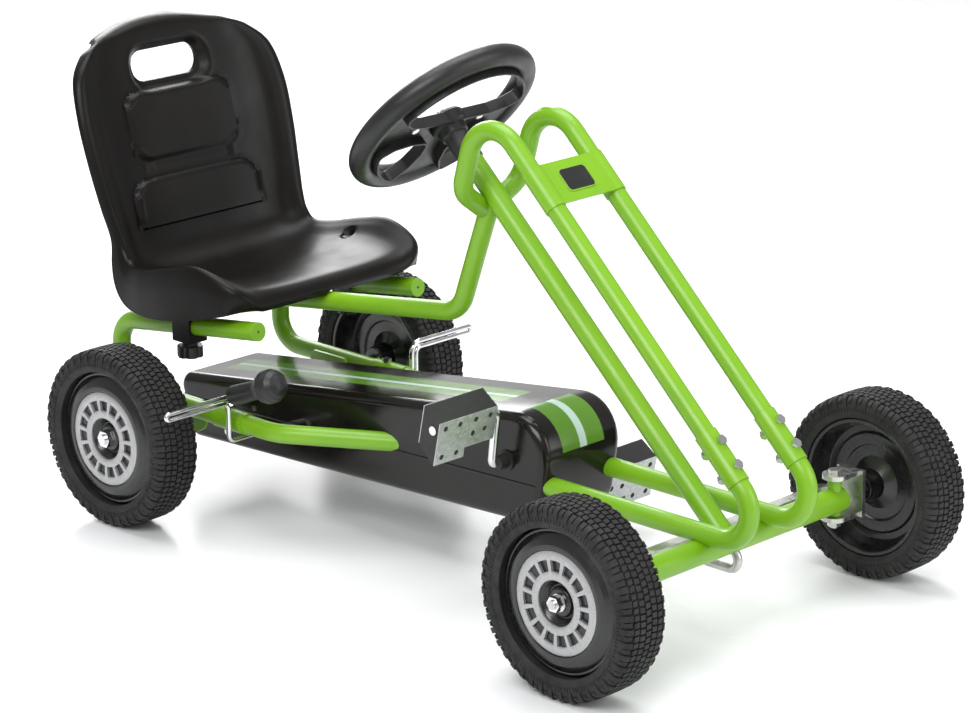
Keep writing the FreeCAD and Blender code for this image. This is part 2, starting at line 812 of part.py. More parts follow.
def make_tie_rod():
    """Flat bar between the steering arms, with a wide eye in the middle for the shaft's cranked end."""
    body = new_body("tie_rod")
    outline = new_sketch(body, "XY_Plane")
    draw_polygon(outline, [
        ("0 - 7", "0 - kingpin_half - 8"), ("7", "0 - kingpin_half - 8"),
        ("7", "0 - 26"), ("10.4", "0 - 17"), ("10.4", "17"), ("7", "26"),
        ("7", "kingpin_half + 8"), ("0 - 7", "kingpin_half + 8"),
        ("0 - 7", "26"), ("0 - 14", "18"), ("0 - 14", "0 - 18"), ("0 - 7", "0 - 26"),
    ])
    pad(body, outline, "plate")
    eye = new_sketch(body, "XY_Plane")
    draw_polygon(eye, [("0 - 9", "0 - 12"), ("8.5", "0 - 12"), ("8.5", "12"), ("0 - 9", "12")])
    for sign in ("0 - ", ""):
        draw_circle(eye, "0", f"{sign}kingpin_half", "3.02")
    pocket(body, eye)
    body.Placement = FreeCAD.Placement(
        Vector(front_x() - get("arm_long"), 0, tie_level()), FreeCAD.Rotation())


def make_tie_rod_pins():
    """Pins through the steering arms and the ends of the tie rod, headed over at both ends."""
    x = front_x() - get("arm_long")
    down = Vector(0, 0, -1)
    pins = []
    for side in (-1, 1):
        top = Vector(x, side * get("kingpin_half"), arm_level() + get("plate") + 0.4)
        pin = bolt(3, 10, 4, top, down, top.z - tie_level() + 2.4)
        pins.append(pin.fuse(cylinder(5.5, 2.4, Vector(x, top.y, tie_level() - 0.02), down)))
    group("tie_rod_pins", pins)


def shaft_corners():
    axis = column_line()
    foot = column_foot()
    under = beam_z() - get("beam_radius") - get("shaft_drop")
    bottom = along(foot, axis, (foot.z - under) / -axis.z)
    tip_x = front_x() - get("arm_long")
    return [
        along(helm_centre(), axis, -6),
        bottom,
        Vector(tip_x, 0, under),
        Vector(tip_x, 0, tie_level() + get("plate") + 3),
    ]


def make_steering_shaft():
    keep("steering_shaft", rod(shaft_corners(), [11, 9], get("shaft_radius")))


def helm_place():
    """The steering wheel's own frame: Z towards the rider, Y to the left."""
    axis = column_line()
    tilt = math.degrees(math.atan2(axis.x, -axis.z))
    return FreeCAD.Placement(helm_centre(), turned(LEFT, -tilt))


def make_steering_wheel():
    """Round rim, a flanged band across it and one flanged spoke down, round a hub."""
    radius = get("helm_radius")
    grip = get("helm_grip")
    shape = Part.makeTorus(radius, grip)
    reach = radius - grip / 2
    band = block((-17, -reach, -9), (17, reach, -5))
    for edge in (-17, 14):
        band = band.fuse(block((edge, -reach, -20), (edge + 3, reach, -5)))
    spoke = block((-reach, -20, -9), (0, 20, -5))
    for edge in (-20, 17):
        spoke = spoke.fuse(block((-reach, edge, -20), (-14, edge + 3, -5)))
    hub = cylinder(20, 18, Vector(0, 0, -22), UP)
    shape = shape.fuse(band).fuse(spoke).fuse(hub)
    shape = shape.cut(cylinder(get("shaft_radius") + 0.02, 60, Vector(0, 0, -60), UP))
    for y in (-50, 50):
        shape = shape.cut(cylinder(2.5, 20, Vector(0, y, -20), UP))
    feature = keep("steering_wheel", shape)
    feature.Placement = helm_place()


def make_helm_screws():
    """Two screws that hold the band to the shaft's plate, heads on the column side."""
    screws = []
    for y in (-50, 50):
        head = cylinder(4.5, 2.4, Vector(0, y, -11.4), UP)
        screws.append(head.fuse(cylinder(2.45, 7, Vector(0, y, -9.5), UP)))
    feature = group("steering_wheel_screws", screws)
    feature.Placement = helm_place()


def make_helm_boss():
    """Sleeve that carries the steering wheel on its shaft, down to the column's top bush."""
    body = new_body("steering_boss")
    revolve(body, [
        ("shaft_radius + 0.02", "22.3"), ("15", "22.3"), ("13.8", "30"), ("13.8", "58.6"),
        ("shaft_radius + 0.02", "58.6")])
    flip = helm_place().multiply(FreeCAD.Placement(Vector(0, 0, 0), turned(FORWARD, -90)))
    body.Placement = flip


# ---- drive ----

def make_rear_axle():
    shaft = doc.addObject("Part::Cylinder", "rear_axle")
    shaft.Label = "rear_axle"
    shaft.setExpression("Radius", "sizes.axle_radius")
    shaft.setExpression("Height", bound("2 * (rear_half_track + tyre_width / 2)"))
    reach = get("rear_half_track") + get("tyre_width") / 2
    shaft.Placement = FreeCAD.Placement(Vector(rear_x(), -reach, hub_z()), turned(FORWARD, -90))
    nodes.append(shaft)


def make_rear_nuts():
    parts = []
    for side in (-1, 1):
        out = Vector(0, side, 0)
        start = Vector(rear_x(), side * (hub_end(get("rear_half_track")) + 0.3), hub_z())
        parts.append(nut(get("axle_radius") + 0.02, 18, 8, start, out))
    group("rear_axle_nuts", parts)


def pitch_radius(teeth):
    return get("chain_pitch") / (2 * math.sin(math.pi / teeth))


def make_sprocket(label, teeth, hub_radius, bore, centre):
    """Toothed disc on a hub, its tips just under the chain: one tooth gap is cut and repeated round."""
    tip = pitch_radius(teeth) - 4.3
    half_gap = math.pi * tip / teeth / 2
    disc = cylinder(tip, 5, Vector(0, -2.5, 0), LEFT)
    for step in range(round(teeth)):
        gap = cylinder(half_gap, 7, Vector(tip + 0.6, -3.5, 0), LEFT)
        gap.rotate(Vector(0, 0, 0), LEFT, 360 * step / teeth)
        disc = disc.cut(gap)
    disc = disc.fuse(cylinder(hub_radius, 16, Vector(0, -8, 0), LEFT))
    disc = disc.cut(cylinder(bore, 20, Vector(0, -10, 0), LEFT))
    feature = keep(label, disc)
    feature.Placement = FreeCAD.Placement(centre, FreeCAD.Rotation())


def make_chain():
    """The chain as one closed band of its true height and width round both sprockets."""
    front = crank_centre()
    rear = Vector(rear_x(), 0, hub_z())
    big = pitch_radius(get("front_teeth"))
    small = pitch_radius(get("rear_teeth"))
    outer = belt_solid(front, rear, big + 4.2, small + 4.2, 3.9)
    inner = belt_solid(front, rear, big - 3.9, small - 3.9, 5)
    keep("chain", outer.cut(inner))


def belt_solid(front, rear, big, small, half_width):
    """A solid the shape of two discs and the tangents between them."""
    line = front.sub(rear)
    distance = line.Length
    heading = math.atan2(line.z, line.x)
    swing = math.acos((big - small) / distance)
    points = []
    for angle in (heading + swing, heading - swing):
        direction = Vector(math.cos(angle), 0, math.sin(angle))
        points.append((along(front, direction, big), along(rear, direction, small)))
    (top_front, top_rear), (low_front, low_rear) = points
    ahead = along(front, unit(line), big)
    behind = along(rear, unit(line), -small)
    edges = [
        Part.LineSegment(top_rear, top_front).toShape(),
        Part.Arc(top_front, ahead, low_front).toShape(),
        Part.LineSegment(low_front, low_rear).toShape(),
        Part.Arc(low_rear, behind, top_rear).toShape(),
    ]
    face = Part.Face(Part.Wire(edges))
    solid = face.extrude(Vector(0, 2 * half_width, 0))
    solid.translate(Vector(0, -half_width, 0))
    return solid


def pedal_spindle(side):
    """Middle of a pedal's spindle line: the right arm is up and the left arm is down."""
    tilt = math.radians(get("crank_tilt"))
    throw = Vector(math.sin(tilt), 0, math.cos(tilt)).multiply(-side * get("crank_throw"))
    return crank_centre().add(throw)


def make_crank():
    """One bent rod: a spindle, an arm, the shaft through the case, the other arm and spindle."""
    arm = get("arm_half")
    reach = arm + get("pedal_wide") + 10
    right = pedal_spindle(-1)
    left = pedal_spindle(1)
    centre = crank_centre()
    corners = [
        Vector(right.x, -reach, right.z), Vector(right.x, -arm, right.z), Vector(centre.x, -arm, centre.z),
        Vector(centre.x, arm, centre.z), Vector(left.x, arm, left.z), Vector(left.x, reach, left.z)]
    keep("pedal_crank", rod(corners, [8, 8, 8, 8], get("crank_radius")))


def make_crank_bushes():
    bushes = []
    wall = get("case_half")
    bore = get("crank_radius") + get("fit_gap")
    centre = crank_centre()
    for side in (-1, 1):
        low, high = sorted((side * (wall - 8), side * (get("arm_half") - 8)))
        rim = sorted((side * (wall + 0.02), side * (wall + 3)))
        bush = cylinder_across(8, low, high, centre.x, centre.z)
        bush = bush.fuse(cylinder_across(11.5, rim[0], rim[1], centre.x, centre.z))
        bushes.append(bush.cut(cylinder_across(bore, low - 5, high + 5, centre.x, centre.z)))
    group("crank_bushes", bushes)


def pedal_slope():
    """Down the treads of a pedal: both lean back by the same amount."""
    return unit(Vector(-10.5, 0, -49.5))


def pedal_tops():
    """Top corner of the front tread and of the back tread, from the spindle."""
    return Vector(9.5, 0, 9.5), Vector(-12.5, 0, 25)


def pedal_spans():
    """The two widths of a pedal: from and to across it, then the front and back tread's height there."""
    inner = get("arm_half") + get("pedal_gap")
    middle = inner + get("pedal_wide") / 2
    outer = inner + get("pedal_wide")
    return (inner, middle, 39.4, 33.5), (middle, outer, 50.6, 44.6)


def make_pedal(label, side):
    """Block pedal that hangs on its spindle, with a shorter inner half; plates cover both treads."""
    spindle = pedal_spindle(side)
    front, back = pedal_tops()
    solid = None
    for low, high, front_height, back_height in pedal_spans():
        start = spindle.add(Vector(0, low, 0))
        corners = [
            back, front, along(front, pedal_slope(), front_height), along(back, pedal_slope(), back_height)]
        points = [Vector(start.x + corner.x, low, start.z + corner.z) for corner in corners]
        part = Part.Face(Part.makePolygon(points + points[:1])).extrude(Vector(0, high - low, 0))
        solid = part if solid is None else solid.fuse(part)
    outer = pedal_spans()[1][1]
    bore = get("crank_radius") + get("fit_gap")
    solid = solid.cut(cylinder_across(bore, 0, outer + 5, spindle.x, spindle.z))
    if side < 0:
        solid = solid.mirror(Vector(0, 0, 0), LEFT)
    keep(label, solid)


def make_pedal_plate(label, side):
    """Thin steel tread plates on the front and back of a pedal, with eight grip holes each."""
    spindle = pedal_spindle(side)
    slope = pedal_slope()
    normal = Vector(-slope.z, 0, slope.x)
    inner = pedal_spans()[0][0]
    holes = [(10, 8), (32, 8), (56, 8), (78, 8), (16, 23), (34, 24), (56, 42), (78, 42)]
    plates = []
    for index, facing in ((0, 1), (1, -1)):
        corner = pedal_tops()[index]
        top = along(Vector(spindle.x + corner.x, 0, spindle.z + corner.z), normal, 0.02 * facing)
        heights = [span[2 + index] - 0.5 for span in pedal_spans()]
        plate = None
        for (low, high, _, _), height in zip(pedal_spans(), heights):
            first = Vector(top.x, low, top.z)
            wide = Vector(0, high - low, 0)
            drop = Vector(slope).multiply(height)
            face = Part.Face(Part.makePolygon([
                first, first.add(wide), first.add(wide).add(drop), first.add(drop), first]))
            part = face.extrude(Vector(normal).multiply(get("tread_plate") * facing))
            plate = part if plate is None else plate.fuse(part)
        for along_y, down in holes:
            if down < heights[0] - 6 or (along_y > 46 and down < heights[1] - 5):
                place = along(Vector(top.x, inner + along_y, top.z), slope, down)
                plate = plate.cut(cylinder(3.2, 6, along(place, normal, -3), normal))
        plates.append(plate.mirror(Vector(0, 0, 0), LEFT) if side < 0 else plate)
    group(label, plates)


# ---- chain case ----

def case_corners(inset):
    """Side outline of the case, moved in by inset."""
    rear = rear_x()
    nose = front_x() - 202
    level = hub_z()
    return [
        Vector(rear - 58 + inset, 0, level - 52 + inset),
        Vector(rear - 79 + inset, 0, level + 24.5 - inset),
        Vector(nose - inset, 0, level + 102.5 - inset),
        Vector(nose - 20 - inset, 0, level - 29 + inset),
    ]


def case_solid(inset):
    half = get("case_half") - inset
    bends = [12 - inset, 14 - inset, 50 - inset, 28 - inset]
    solid = Part.Face(closed_outline(case_corners(inset), bends)).extrude(Vector(0, 2 * half, 0))
    solid.translate(Vector(0, -half, 0))
    rims = [edge for edge in solid.Edges if abs(abs(edge.CenterOfMass.y) - half) < 0.001]
    return solid.makeFillet(9 - inset, rims)


def make_case():
    """Chain case in two moulded halves that meet on a plane through the axle and the frame tubes."""
    shell = case_solid(0).cut(case_solid(get("case_wall")))
    for side in (-1, 1):
        route = lower_tube_corners(side)[1:]
        shell = shell.cut(rod(route, lower_bends()[1:], get("tube_radius") + get("room")))
    reach = get("case_half") + 20
    centre = crank_centre()
    shell = shell.cut(cylinder_across(8.02, -reach, reach, centre.x, centre.z))
    shell = shell.cut(cylinder_across(get("axle_radius") + 1, -reach, reach, rear_x(), hub_z()))
    brake = brake_shaft()
    shell = shell.cut(cylinder_across(get("brake_radius") + get("fit_gap"), -reach, reach, brake.x, brake.z))
    seam_rear = Vector(rear_x() - 200, -100, hub_z() - 200 * 0.03)
    seam = unit(Vector(front_x() - 220 - rear_x(), 0, get("rail_rise")))
    wide, long = Vector(0, 200, 0), Vector(seam).multiply(900)
    slab = Part.Face(Part.makePolygon([
        seam_rear, seam_rear.add(wide), seam_rear.add(wide).add(long), seam_rear.add(long), seam_rear]))
    above = slab.extrude(Vector(0, 0, 300))
    keep("chain_case_cover", biggest(shell.common(above)))
    keep("chain_case_tray", biggest(shell.cut(above)))


def biggest(shape):
    return max(shape.Solids, key=lambda item: item.Volume)


def make_case_screws():
    """Side screws through the overlap of the case's two halves."""
    screws = []
    half = get("case_half")
    for side in (-1, 1):
        for ahead in (60, 154, 360):
            slope = get("rail_rise") / (get("wheel_base") - 220)
            place = Vector(rear_x() + ahead, side * (half + 0.02), hub_z() + ahead * slope + 7)
            out = Vector(0, side, 0)
            screws.append(cylinder(3.5, 1.8, place, out))
    group("chain_case_screws", screws)


# ---- brake ----

def brake_shaft():
    return Vector(rear_x() + get("brake_ahead"), 0, hub_z() + 1.2)


def make_brake_rod():
    """One bent rod: a doubled bar before each rear tyre, joined by the cross shaft, ending in the grip."""
    shaft = brake_shaft()
    x = shaft.x
    low = shaft.z + get("brake_reach") - 3.5
    high = low + 7
    tip = get("rear_half_track") + 27
    leg = get("rail_half") + 23
    corners = [
        Vector(x, leg - 7, shaft.z + 20), Vector(x, leg - 7, high), Vector(x, tip, high), Vector(x, tip, low),
        Vector(x, leg, low), shaft.add(Vector(0, leg, 0)), shaft.add(Vector(0, -leg, 0)), Vector(x, -leg, low),
        Vector(x, -tip, low), Vector(x, -tip, high), Vector(x, -leg, high), grip_point(60)]
    bends = [14, 3.5, 3.5, 8, 8, 8, 8, 3.5, 3.5, 6]
    keep("brake_rod", rod(corners, bends, get("brake_radius")))


def grip_start():
    shaft = brake_shaft()
    return Vector(shaft.x, -get("rail_half") - 23, shaft.z + get("brake_reach") + 3.5)


def grip_line():
    return unit(Vector(0.93, 0, 0.36))


def grip_point(distance):
    return along(grip_start(), grip_line(), distance)


def make_brake_grip():
    """Handle sleeve with a ball end, turned about its own length."""
    body = new_body("brake_grip")
    turns = [math.radians(angle) for angle in range(-50, 90, 20)]
    ball = [(20 * math.cos(turn), 77 + 20 * math.sin(turn)) for turn in turns]
    bore = "brake_radius + 0.02"
    points = [(bore, "8"), ("9", "8"), ("11.5", "10.5"), ("11.5", "30"), ("11", "55")]
    points += [(f"{radius:.3f}", f"{place:.3f}") for radius, place in ball]
    points += [("0", "97"), ("0", "61"), (bore, "61")]
    revolve(body, points)
    tilt = math.degrees(math.atan2(grip_line().z, grip_line().x))
    place = FreeCAD.Placement(grip_start(), turned(LEFT, -tilt))
    body.Placement = place.multiply(FreeCAD.Placement(Vector(0, 0, 0), turned(UP, -90)))


# ---- seat ----

def seat_stations():
    """Stations from the front lip, over the pan and up the back to its rolled top. Each gives the centre
    line's place (from the rear axle), which way its upper side faces, the half width, how far the edges
    rise, how deep the rim is, and how far the corners droop."""
    return [
        (130, 150, 5, 0.66, 0, 4, 0),
        (132, 159, 35, 0.80, 4, 14, 0),
        (116, 170, 80, 0.94, 15, 32, 0),
        (70, 168, 92, 0.99, 32, 54, 0),
        (20, 162, 95, 1.00, 30, 56, 0),
        (-25, 157, 95, 0.98, 24, 50, 0),
        (-60, 159, 78, 0.94, 21, 42, 0),
        (-84, 174, 42, 0.92, 24, 20, 0),
        (-97, 200, 20, 0.92, 24, 6, 0),
        (-107, 240, 11, 0.95, 21, 5, 0),
        (-120, 290, 12, 0.98, 20, 5, 0),
        (-134, 340, 15, 0.985, 19, 5, 0),
        (-147, 385, 16, 0.93, 16, 7, 2),
        (-158, 416, 18, 0.79, 11, 9, 9),
        (-165, 430, 35, 0.66, 6, 8, 14),
        (-175, 436, 62, 0.60, 3, 5, 17),
        (-188, 437, 85, 0.56, 0, 3, 19),
    ]


def seat_section(station, inset):
    """Points across the seat at one station, from the right rim to the left."""
    ahead, height, facing, wide, rise, rim, droop = station
    angle = math.radians(facing)
    out = Vector(math.cos(angle), 0, math.sin(angle))
    down_back = unit(Vector(1, 0, -4))
    centre = Vector(rear_x() + ahead, 0, hub_z() + height)
    half = get("seat_half") * wide
    shape = [(0, 0, 0), (0.35, 0.03, 0), (0.62, 0.17, 0), (0.78, 0.43, 0), (0.89, 0.8, 0), (0.955, 0.99, 0),
             (1.0, 0.98, 0.06), (1.025, 0.9, 0.3), (1.035, 0.85, 0.6), (1.04, 0.8, 1.0)]
    side_normals = [0, 0.02, 0.1, 0.3, 0.4, 0, -0.75, -1, -1, -1]
    points = []
    for (across, lift, drop), lean in zip(shape, side_normals):
        straight = math.sqrt(max(0.0, 1 - lean * lean))
        y = half * across + inset * lean
        level = rise * lift - rim * drop - inset * straight
        points.append((y, along(along(centre, out, level), down_back, droop * across * across)))
    right = [Vector(point.x, -y, point.z) for y, point in reversed(points[1:])]
    left = [Vector(point.x, y, point.z) for y, point in points]
    return right + left


def seat_skin(inset):
    rows = [seat_section(station, inset) for station in seat_stations()]
    surface = Part.BSplineSurface()
    surface.interpolate(rows)
    return surface


def seat_skin_solid():
    """The seat's shell before its hole, notch and bolt holes are cut."""
    top = seat_skin(0).toShape()
    under = seat_skin(get("seat_wall")).toShape()
    sides = []
    for upper_edge in top.Edges:
        middle = upper_edge.CenterOfMass
        lower_edge = min(under.Edges, key=lambda edge: edge.CenterOfMass.distanceToPoint(middle))
        sides.append(Part.makeRuledSurface(upper_edge, lower_edge))
    shell = Part.makeShell([top, under] + sides)
    shell.sewShape()
    solid = Part.makeSolid(shell)
    if solid.Volume < 0:
        solid.reverse()
    return solid


def seat_moulding():
    """The seat's shell with a sunk cup round each bolt, before its holes are cut."""
    solid = seat_skin_solid()
    wall = get("seat_wall")
    for place in seat_bolt_places():
        cup = cylinder(get("cup_radius") + wall * 0.7, 30, place.add(Vector(0, 0, -wall)), UP)
        under = min(cup.cut(seat_skin_solid()).Solids, key=lambda piece: piece.BoundBox.ZMin)
        solid = solid.fuse(under).cut(cylinder(get("cup_radius"), 40, place, UP))
    return biggest(solid)


def make_seat():
    """Bucket seat: a dished shell with rolled-down rims, and a carrying hole through the top of the back."""
    solid = seat_moulding()
    hole = block((rear_x() - 260, -50, hub_z() + 364), (rear_x() - 60, 50, hub_z() + 400))
    rounded = [edge for edge in hole.Edges if abs(edge.Length - 200) < 0.001]
    solid = solid.cut(hole.makeFillet(15, rounded))
    bend, end = upright_corners()[1:]
    notch = cylinder(get("tube_radius") + 3, end.distanceToPoint(bend), end, bend.sub(end))
    solid = biggest(solid.cut(notch))
    keep("seat", biggest(bolt_holes(solid, seat_bolt_places(), UP, 3.02)))


def seat_bolt_places():
    """Where each bolt that holds the seat on its clamps meets the floor of its cup in the pan."""
    places = []
    for side in (-1, 1):
        middle = clamp_middle(side)
        drill = cylinder(0.5, 100, Vector(middle.x, middle.y, middle.z + 20), UP)
        core = biggest(seat_skin_solid().common(drill))
        surface = core.CenterOfMass.z + get("seat_wall") / 2
        places.append(Vector(middle.x, middle.y, surface - get("bolt_sunk")))
    return places


def make_seat_bolts():
    down = Vector(0, 0, -1)
    group("seat_bolts", [cylinder(6, 3, place.add(Vector(0, 0, 0.02)), UP).fuse(
        cylinder(3, 22, place.add(Vector(0, 0, 0.02)), down)) for place in seat_bolt_places()])


def clamp_middle(side):
    return rail_point(rear_x() + get("seat_ahead"), side)


def make_seat_clamps():
    """Collar round each seat rail, under the seat, with a threaded hole for the knob."""
    clamps = []
    for side in (-1, 1):
        middle = clamp_middle(side)
        x, y, z = middle
        collar = block((x - 15, y - 13.4, z - 18), (x + 15, y + 13.4, z + 19))
        neck = block((x - 13, y - 10, z + 18), (x + 13, y + 10, z + 90))
        neck = min(neck.cut(seat_moulding()).Solids, key=lambda piece: piece.BoundBox.ZMin)
        collar = collar.fuse(neck)
        collar = collar.cut(rail_bar(side, get("tube_radius") + 0.35))
        hole = cylinder(4 + get("fit_gap"), 12, Vector(middle.x, middle.y, middle.z - 22), UP)
        clamps.append(collar.cut(hole))
    clamps = [bolt_holes(clamp, seat_bolt_places(), UP, 3.02) for clamp in clamps]
    group("seat_clamps", clamps)


def make_seat_knob(label, side):
    """Six-lobed clamping knob with its screw."""
    middle = clamp_middle(side)
    base = Vector(middle.x, middle.y, middle.z - 37)
    head = cylinder(15, 13, base, UP)
    for step in range(6):
        gap = cylinder(4, 13, base.add(Vector(17, 0, 0)), UP)
        gap.rotate(base, UP, 60 * step)
        head = head.cut(gap)
    neck = cylinder(9, 5.5, along(base, UP, 13), UP)
    screw = cylinder(4, 6.2, along(base, UP, 18), UP)
    keep(label, head.fuse(neck).fuse(screw))


# ---- building ----

def build_all():
    fill_sheet()
    make_wheels()
    make_front_axle_beam()
    for name, side in (("right", -1), ("left", 1)):
        make_frame_tube(f"frame_tube_{name}", side)
        make_upper_tube(f"upper_tube_{name}", side)
        make_seat_rail(f"seat_rail_{name}", side)
        make_knuckle(f"steering_knuckle_{name}", side)
        make_kingpin(f"kingpin_{name}", side)
        make_wheel_nut(f"front_wheel_nut_{name}", side)
        make_pedal(f"pedal_{name}", side)
        make_pedal_plate(f"pedal_plates_{name}", side)
        make_seat_knob(f"seat_knob_{name}", side)
    make_column_tube()
    make_column_bushes()
    make_seat_support()
    make_rail_caps()
    make_axle_brackets()
    make_axle_bushes()
    make_front_panel()
    make_frame_fasteners()
    make_tie_rod()
    make_tie_rod_pins()
    make_steering_shaft()
    make_steering_wheel()
    make_helm_screws()
    make_helm_boss()
    make_rear_axle()
    make_rear_nuts()
    rear_hub = Vector(rear_x(), 0, hub_z())
    make_sprocket("crank_sprocket", get("front_teeth"), 14, get("crank_radius") + 0.02, crank_centre())
    make_sprocket("axle_sprocket", get("rear_teeth"), 11, get("axle_radius") + 0.02, rear_hub)
    make_chain()
    make_crank()
    make_crank_bushes()
    make_case()
    make_case_screws()
    make_brake_rod()
    make_brake_grip()
    make_seat()
    make_seat_bolts()
    make_seat_clamps()


def check_all():
    doc.recompute()
    for item in doc.Objects:
        if "Invalid" in item.State or "Error" in item.State:
            raise RuntimeError(f"{item.Name} did not compute: {item.State}")
    for node in nodes:
        if node.Shape.isNull() or not node.Shape.isValid():
            raise RuntimeError(f"{node.Label} has no valid shape")
        if not node.Shape.Solids:
            raise RuntimeError(f"{node.Label} holds no solid")


def write_all():
    os.makedirs("parts", exist_ok=True)
    for node in nodes:
        node.Shape.exportStep(f"parts/{node.Label}.step")
    print(f"{len(nodes)} nodes written")


build_all()
check_all()
write_all()
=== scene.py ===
import bpy
import bmesh
import json
import math
import numpy as np
from mathutils import Matrix, Vector


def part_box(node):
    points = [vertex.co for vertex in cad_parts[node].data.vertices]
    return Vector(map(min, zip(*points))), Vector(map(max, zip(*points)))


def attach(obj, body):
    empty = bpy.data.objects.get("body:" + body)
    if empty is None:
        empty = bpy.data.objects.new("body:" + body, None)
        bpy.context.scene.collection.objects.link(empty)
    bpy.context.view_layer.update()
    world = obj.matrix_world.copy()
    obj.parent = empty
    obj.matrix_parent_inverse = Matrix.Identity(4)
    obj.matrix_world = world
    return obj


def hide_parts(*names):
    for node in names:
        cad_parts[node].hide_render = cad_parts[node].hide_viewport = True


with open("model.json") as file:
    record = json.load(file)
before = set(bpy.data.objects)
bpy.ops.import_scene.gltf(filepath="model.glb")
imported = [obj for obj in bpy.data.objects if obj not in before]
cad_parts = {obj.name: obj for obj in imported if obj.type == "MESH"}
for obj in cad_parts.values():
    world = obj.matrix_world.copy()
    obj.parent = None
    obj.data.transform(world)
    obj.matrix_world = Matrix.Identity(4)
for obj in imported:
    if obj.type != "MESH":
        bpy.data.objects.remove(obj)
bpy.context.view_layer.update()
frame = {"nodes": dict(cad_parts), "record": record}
nodes = frame["nodes"]
joints = {joint["name"]: joint for joint in frame["record"]["behaviour"]["joints"]}
print("frame loaded,", len(nodes), "nodes")


# small helpers for material nodes

def addNode(tree, kind, settings=None, values=None):
    node = tree.nodes.new(kind)
    for key, value in (settings or {}).items():
        setattr(node, key, value)
    for key, value in (values or {}).items():
        if isinstance(value, bpy.types.NodeSocket):
            tree.links.new(value, node.inputs[key])
        else:
            node.inputs[key].default_value = value
    return node


def startMaterial(name, colour, roughness, metallic=0.0, coat=0.0, coatRoughness=0.05):
    material = bpy.data.materials.new(name)
    material.use_nodes = True
    tree = material.node_tree
    shader = tree.nodes["Principled BSDF"]
    shader.inputs["Base Color"].default_value = (*colour, 1)
    shader.inputs["Roughness"].default_value = roughness
    shader.inputs["Metallic"].default_value = metallic
    shader.inputs["Coat Weight"].default_value = coat
    shader.inputs["Coat Roughness"].default_value = coatRoughness
    return material, tree, shader


def place(tree, stretch=(1, 1, 1)):
    coords = addNode(tree, "ShaderNodeTexCoord")
    return addNode(tree, "ShaderNodeMapping", {},
        {"Vector": coords.outputs["Object"], "Scale": stretch}).outputs[0]


def noise(tree, scale, detail=4.0, stretch=(1, 1, 1)):
    values = {"Vector": place(tree, stretch), "Scale": scale, "Detail": detail}
    return addNode(tree, "ShaderNodeTexNoise", {}, values).outputs[0]


def remap(tree, value, low, high, toLow, toHigh):
    values = {"Value": value, "From Min": low, "From Max": high, "To Min": toLow, "To Max": toHigh}
    return addNode(tree, "ShaderNodeMapRange", {}, values).outputs[0]


def math2(tree, operation, first, second=0.0):
    return addNode(tree, "ShaderNodeMath", {"operation": operation}, {0: first, 1: second}).outputs[0]


def blendColour(tree, factor, first, second):
    mix = addNode(tree, "ShaderNodeMix", {"data_type": "RGBA"})
    for index, value in ((0, factor), (6, first), (7, second)):
        if isinstance(value, bpy.types.NodeSocket):
            tree.links.new(value, mix.inputs[index])
        else:
            mix.inputs[index].default_value = value if index == 0 else (*value, 1)
    return mix.outputs[2]


def addBump(tree, shader, height, depth, strength=1.0, under=None):
    values = {"Height": height, "Distance": depth, "Strength": strength}
    if under is not None:
        values["Normal"] = under
    bump = addNode(tree, "ShaderNodeBump", {}, values).outputs[0]
    tree.links.new(bump, shader.inputs["Normal"])
    return bump


def setInput(tree, shader, name, value):
    tree.links.new(value, shader.inputs[name])


# finishes

paint = {"green": (0.198, 0.425, 0.008), "deep": (0.165, 0.385, 0.007), "pale": (0.24, 0.46, 0.018),
    "peel": 620.0}


def makePaint():
    # powder coat: slightly uneven colour, orange peel, faint rubbed streaks
    material, tree, shader = startMaterial("greenPowderCoat", paint["green"], 0.38, coat=0.16,
        coatRoughness=0.16)
    broad = remap(tree, noise(tree, 9.0, 3.0), 0.35, 0.65, 0.0, 1.0)
    colour = blendColour(tree, broad, paint["deep"], paint["green"])
    rub = remap(tree, noise(tree, 55.0, 6.0, (1.0, 1.0, 0.3)), 0.62, 0.75, 0.0, 0.35)
    setInput(tree, shader, "Base Color", blendColour(tree, rub, colour, paint["pale"]))
    setInput(tree, shader, "Roughness", remap(tree, noise(tree, 38.0, 5.0), 0.3, 0.7, 0.32, 0.44))
    peel = addBump(tree, shader, noise(tree, paint["peel"], 2.0), 0.00006, 0.5)
    addBump(tree, shader, noise(tree, 90.0, 2.0), 0.0002, 0.25, peel)
    return material


def makeSeatPlastic():
    # blow-moulded plastic: fine leather grain, dull sheen, a little dust in the grain
    material, tree, shader = startMaterial("seatMoulding", (0.0045, 0.0037, 0.0032), 0.36)
    shader.inputs["Specular IOR Level"].default_value = 0.2
    values = {"Vector": place(tree), "Scale": 950.0}
    cells = addNode(tree, "ShaderNodeTexVoronoi", {"feature": "SMOOTH_F1"}, values).outputs[0]
    fine = noise(tree, 1500.0, 3.0)
    dust = remap(tree, noise(tree, 14.0, 6.0), 0.45, 0.75, 0.0, 0.3)
    setInput(tree, shader, "Base Color",
        blendColour(tree, dust, (0.0045, 0.0037, 0.0032), (0.011, 0.0095, 0.0082)))
    setInput(tree, shader, "Roughness", remap(tree, noise(tree, 22.0, 4.0), 0.3, 0.7, 0.3, 0.42))
    grain = addBump(tree, shader, cells, 0.00022, 0.35)
    addBump(tree, shader, fine, 0.00008, 0.3, grain)
    return material


# the case's sloped top, the painted reflection of the green tube along it with its painted highlight line,
# and the green patch over the nose
caseTop = {"slope": 0.1265, "topRear": -0.449, "topHeight": 0.129, "bandHalf": 0.024, "lineHalf": 0.0035,
           "bandRear": -0.405, "bandFront": 0.058, "patchRear": 0.106, "patchFront": 0.2,
           "patchFloor": 0.158,
           "patchHalf": 0.033, "patchLineHalf": 0.0055}


def inside(tree, value, low, high, soft=0.0006):
    # 1 between low and high, 0 outside, with a soft edge
    rise = remap(tree, value, low - soft, low + soft, 0.0, 1.0)
    fall = remap(tree, value, high - soft, high + soft, 1.0, 0.0)
    return math2(tree, "MULTIPLY", rise, fall)


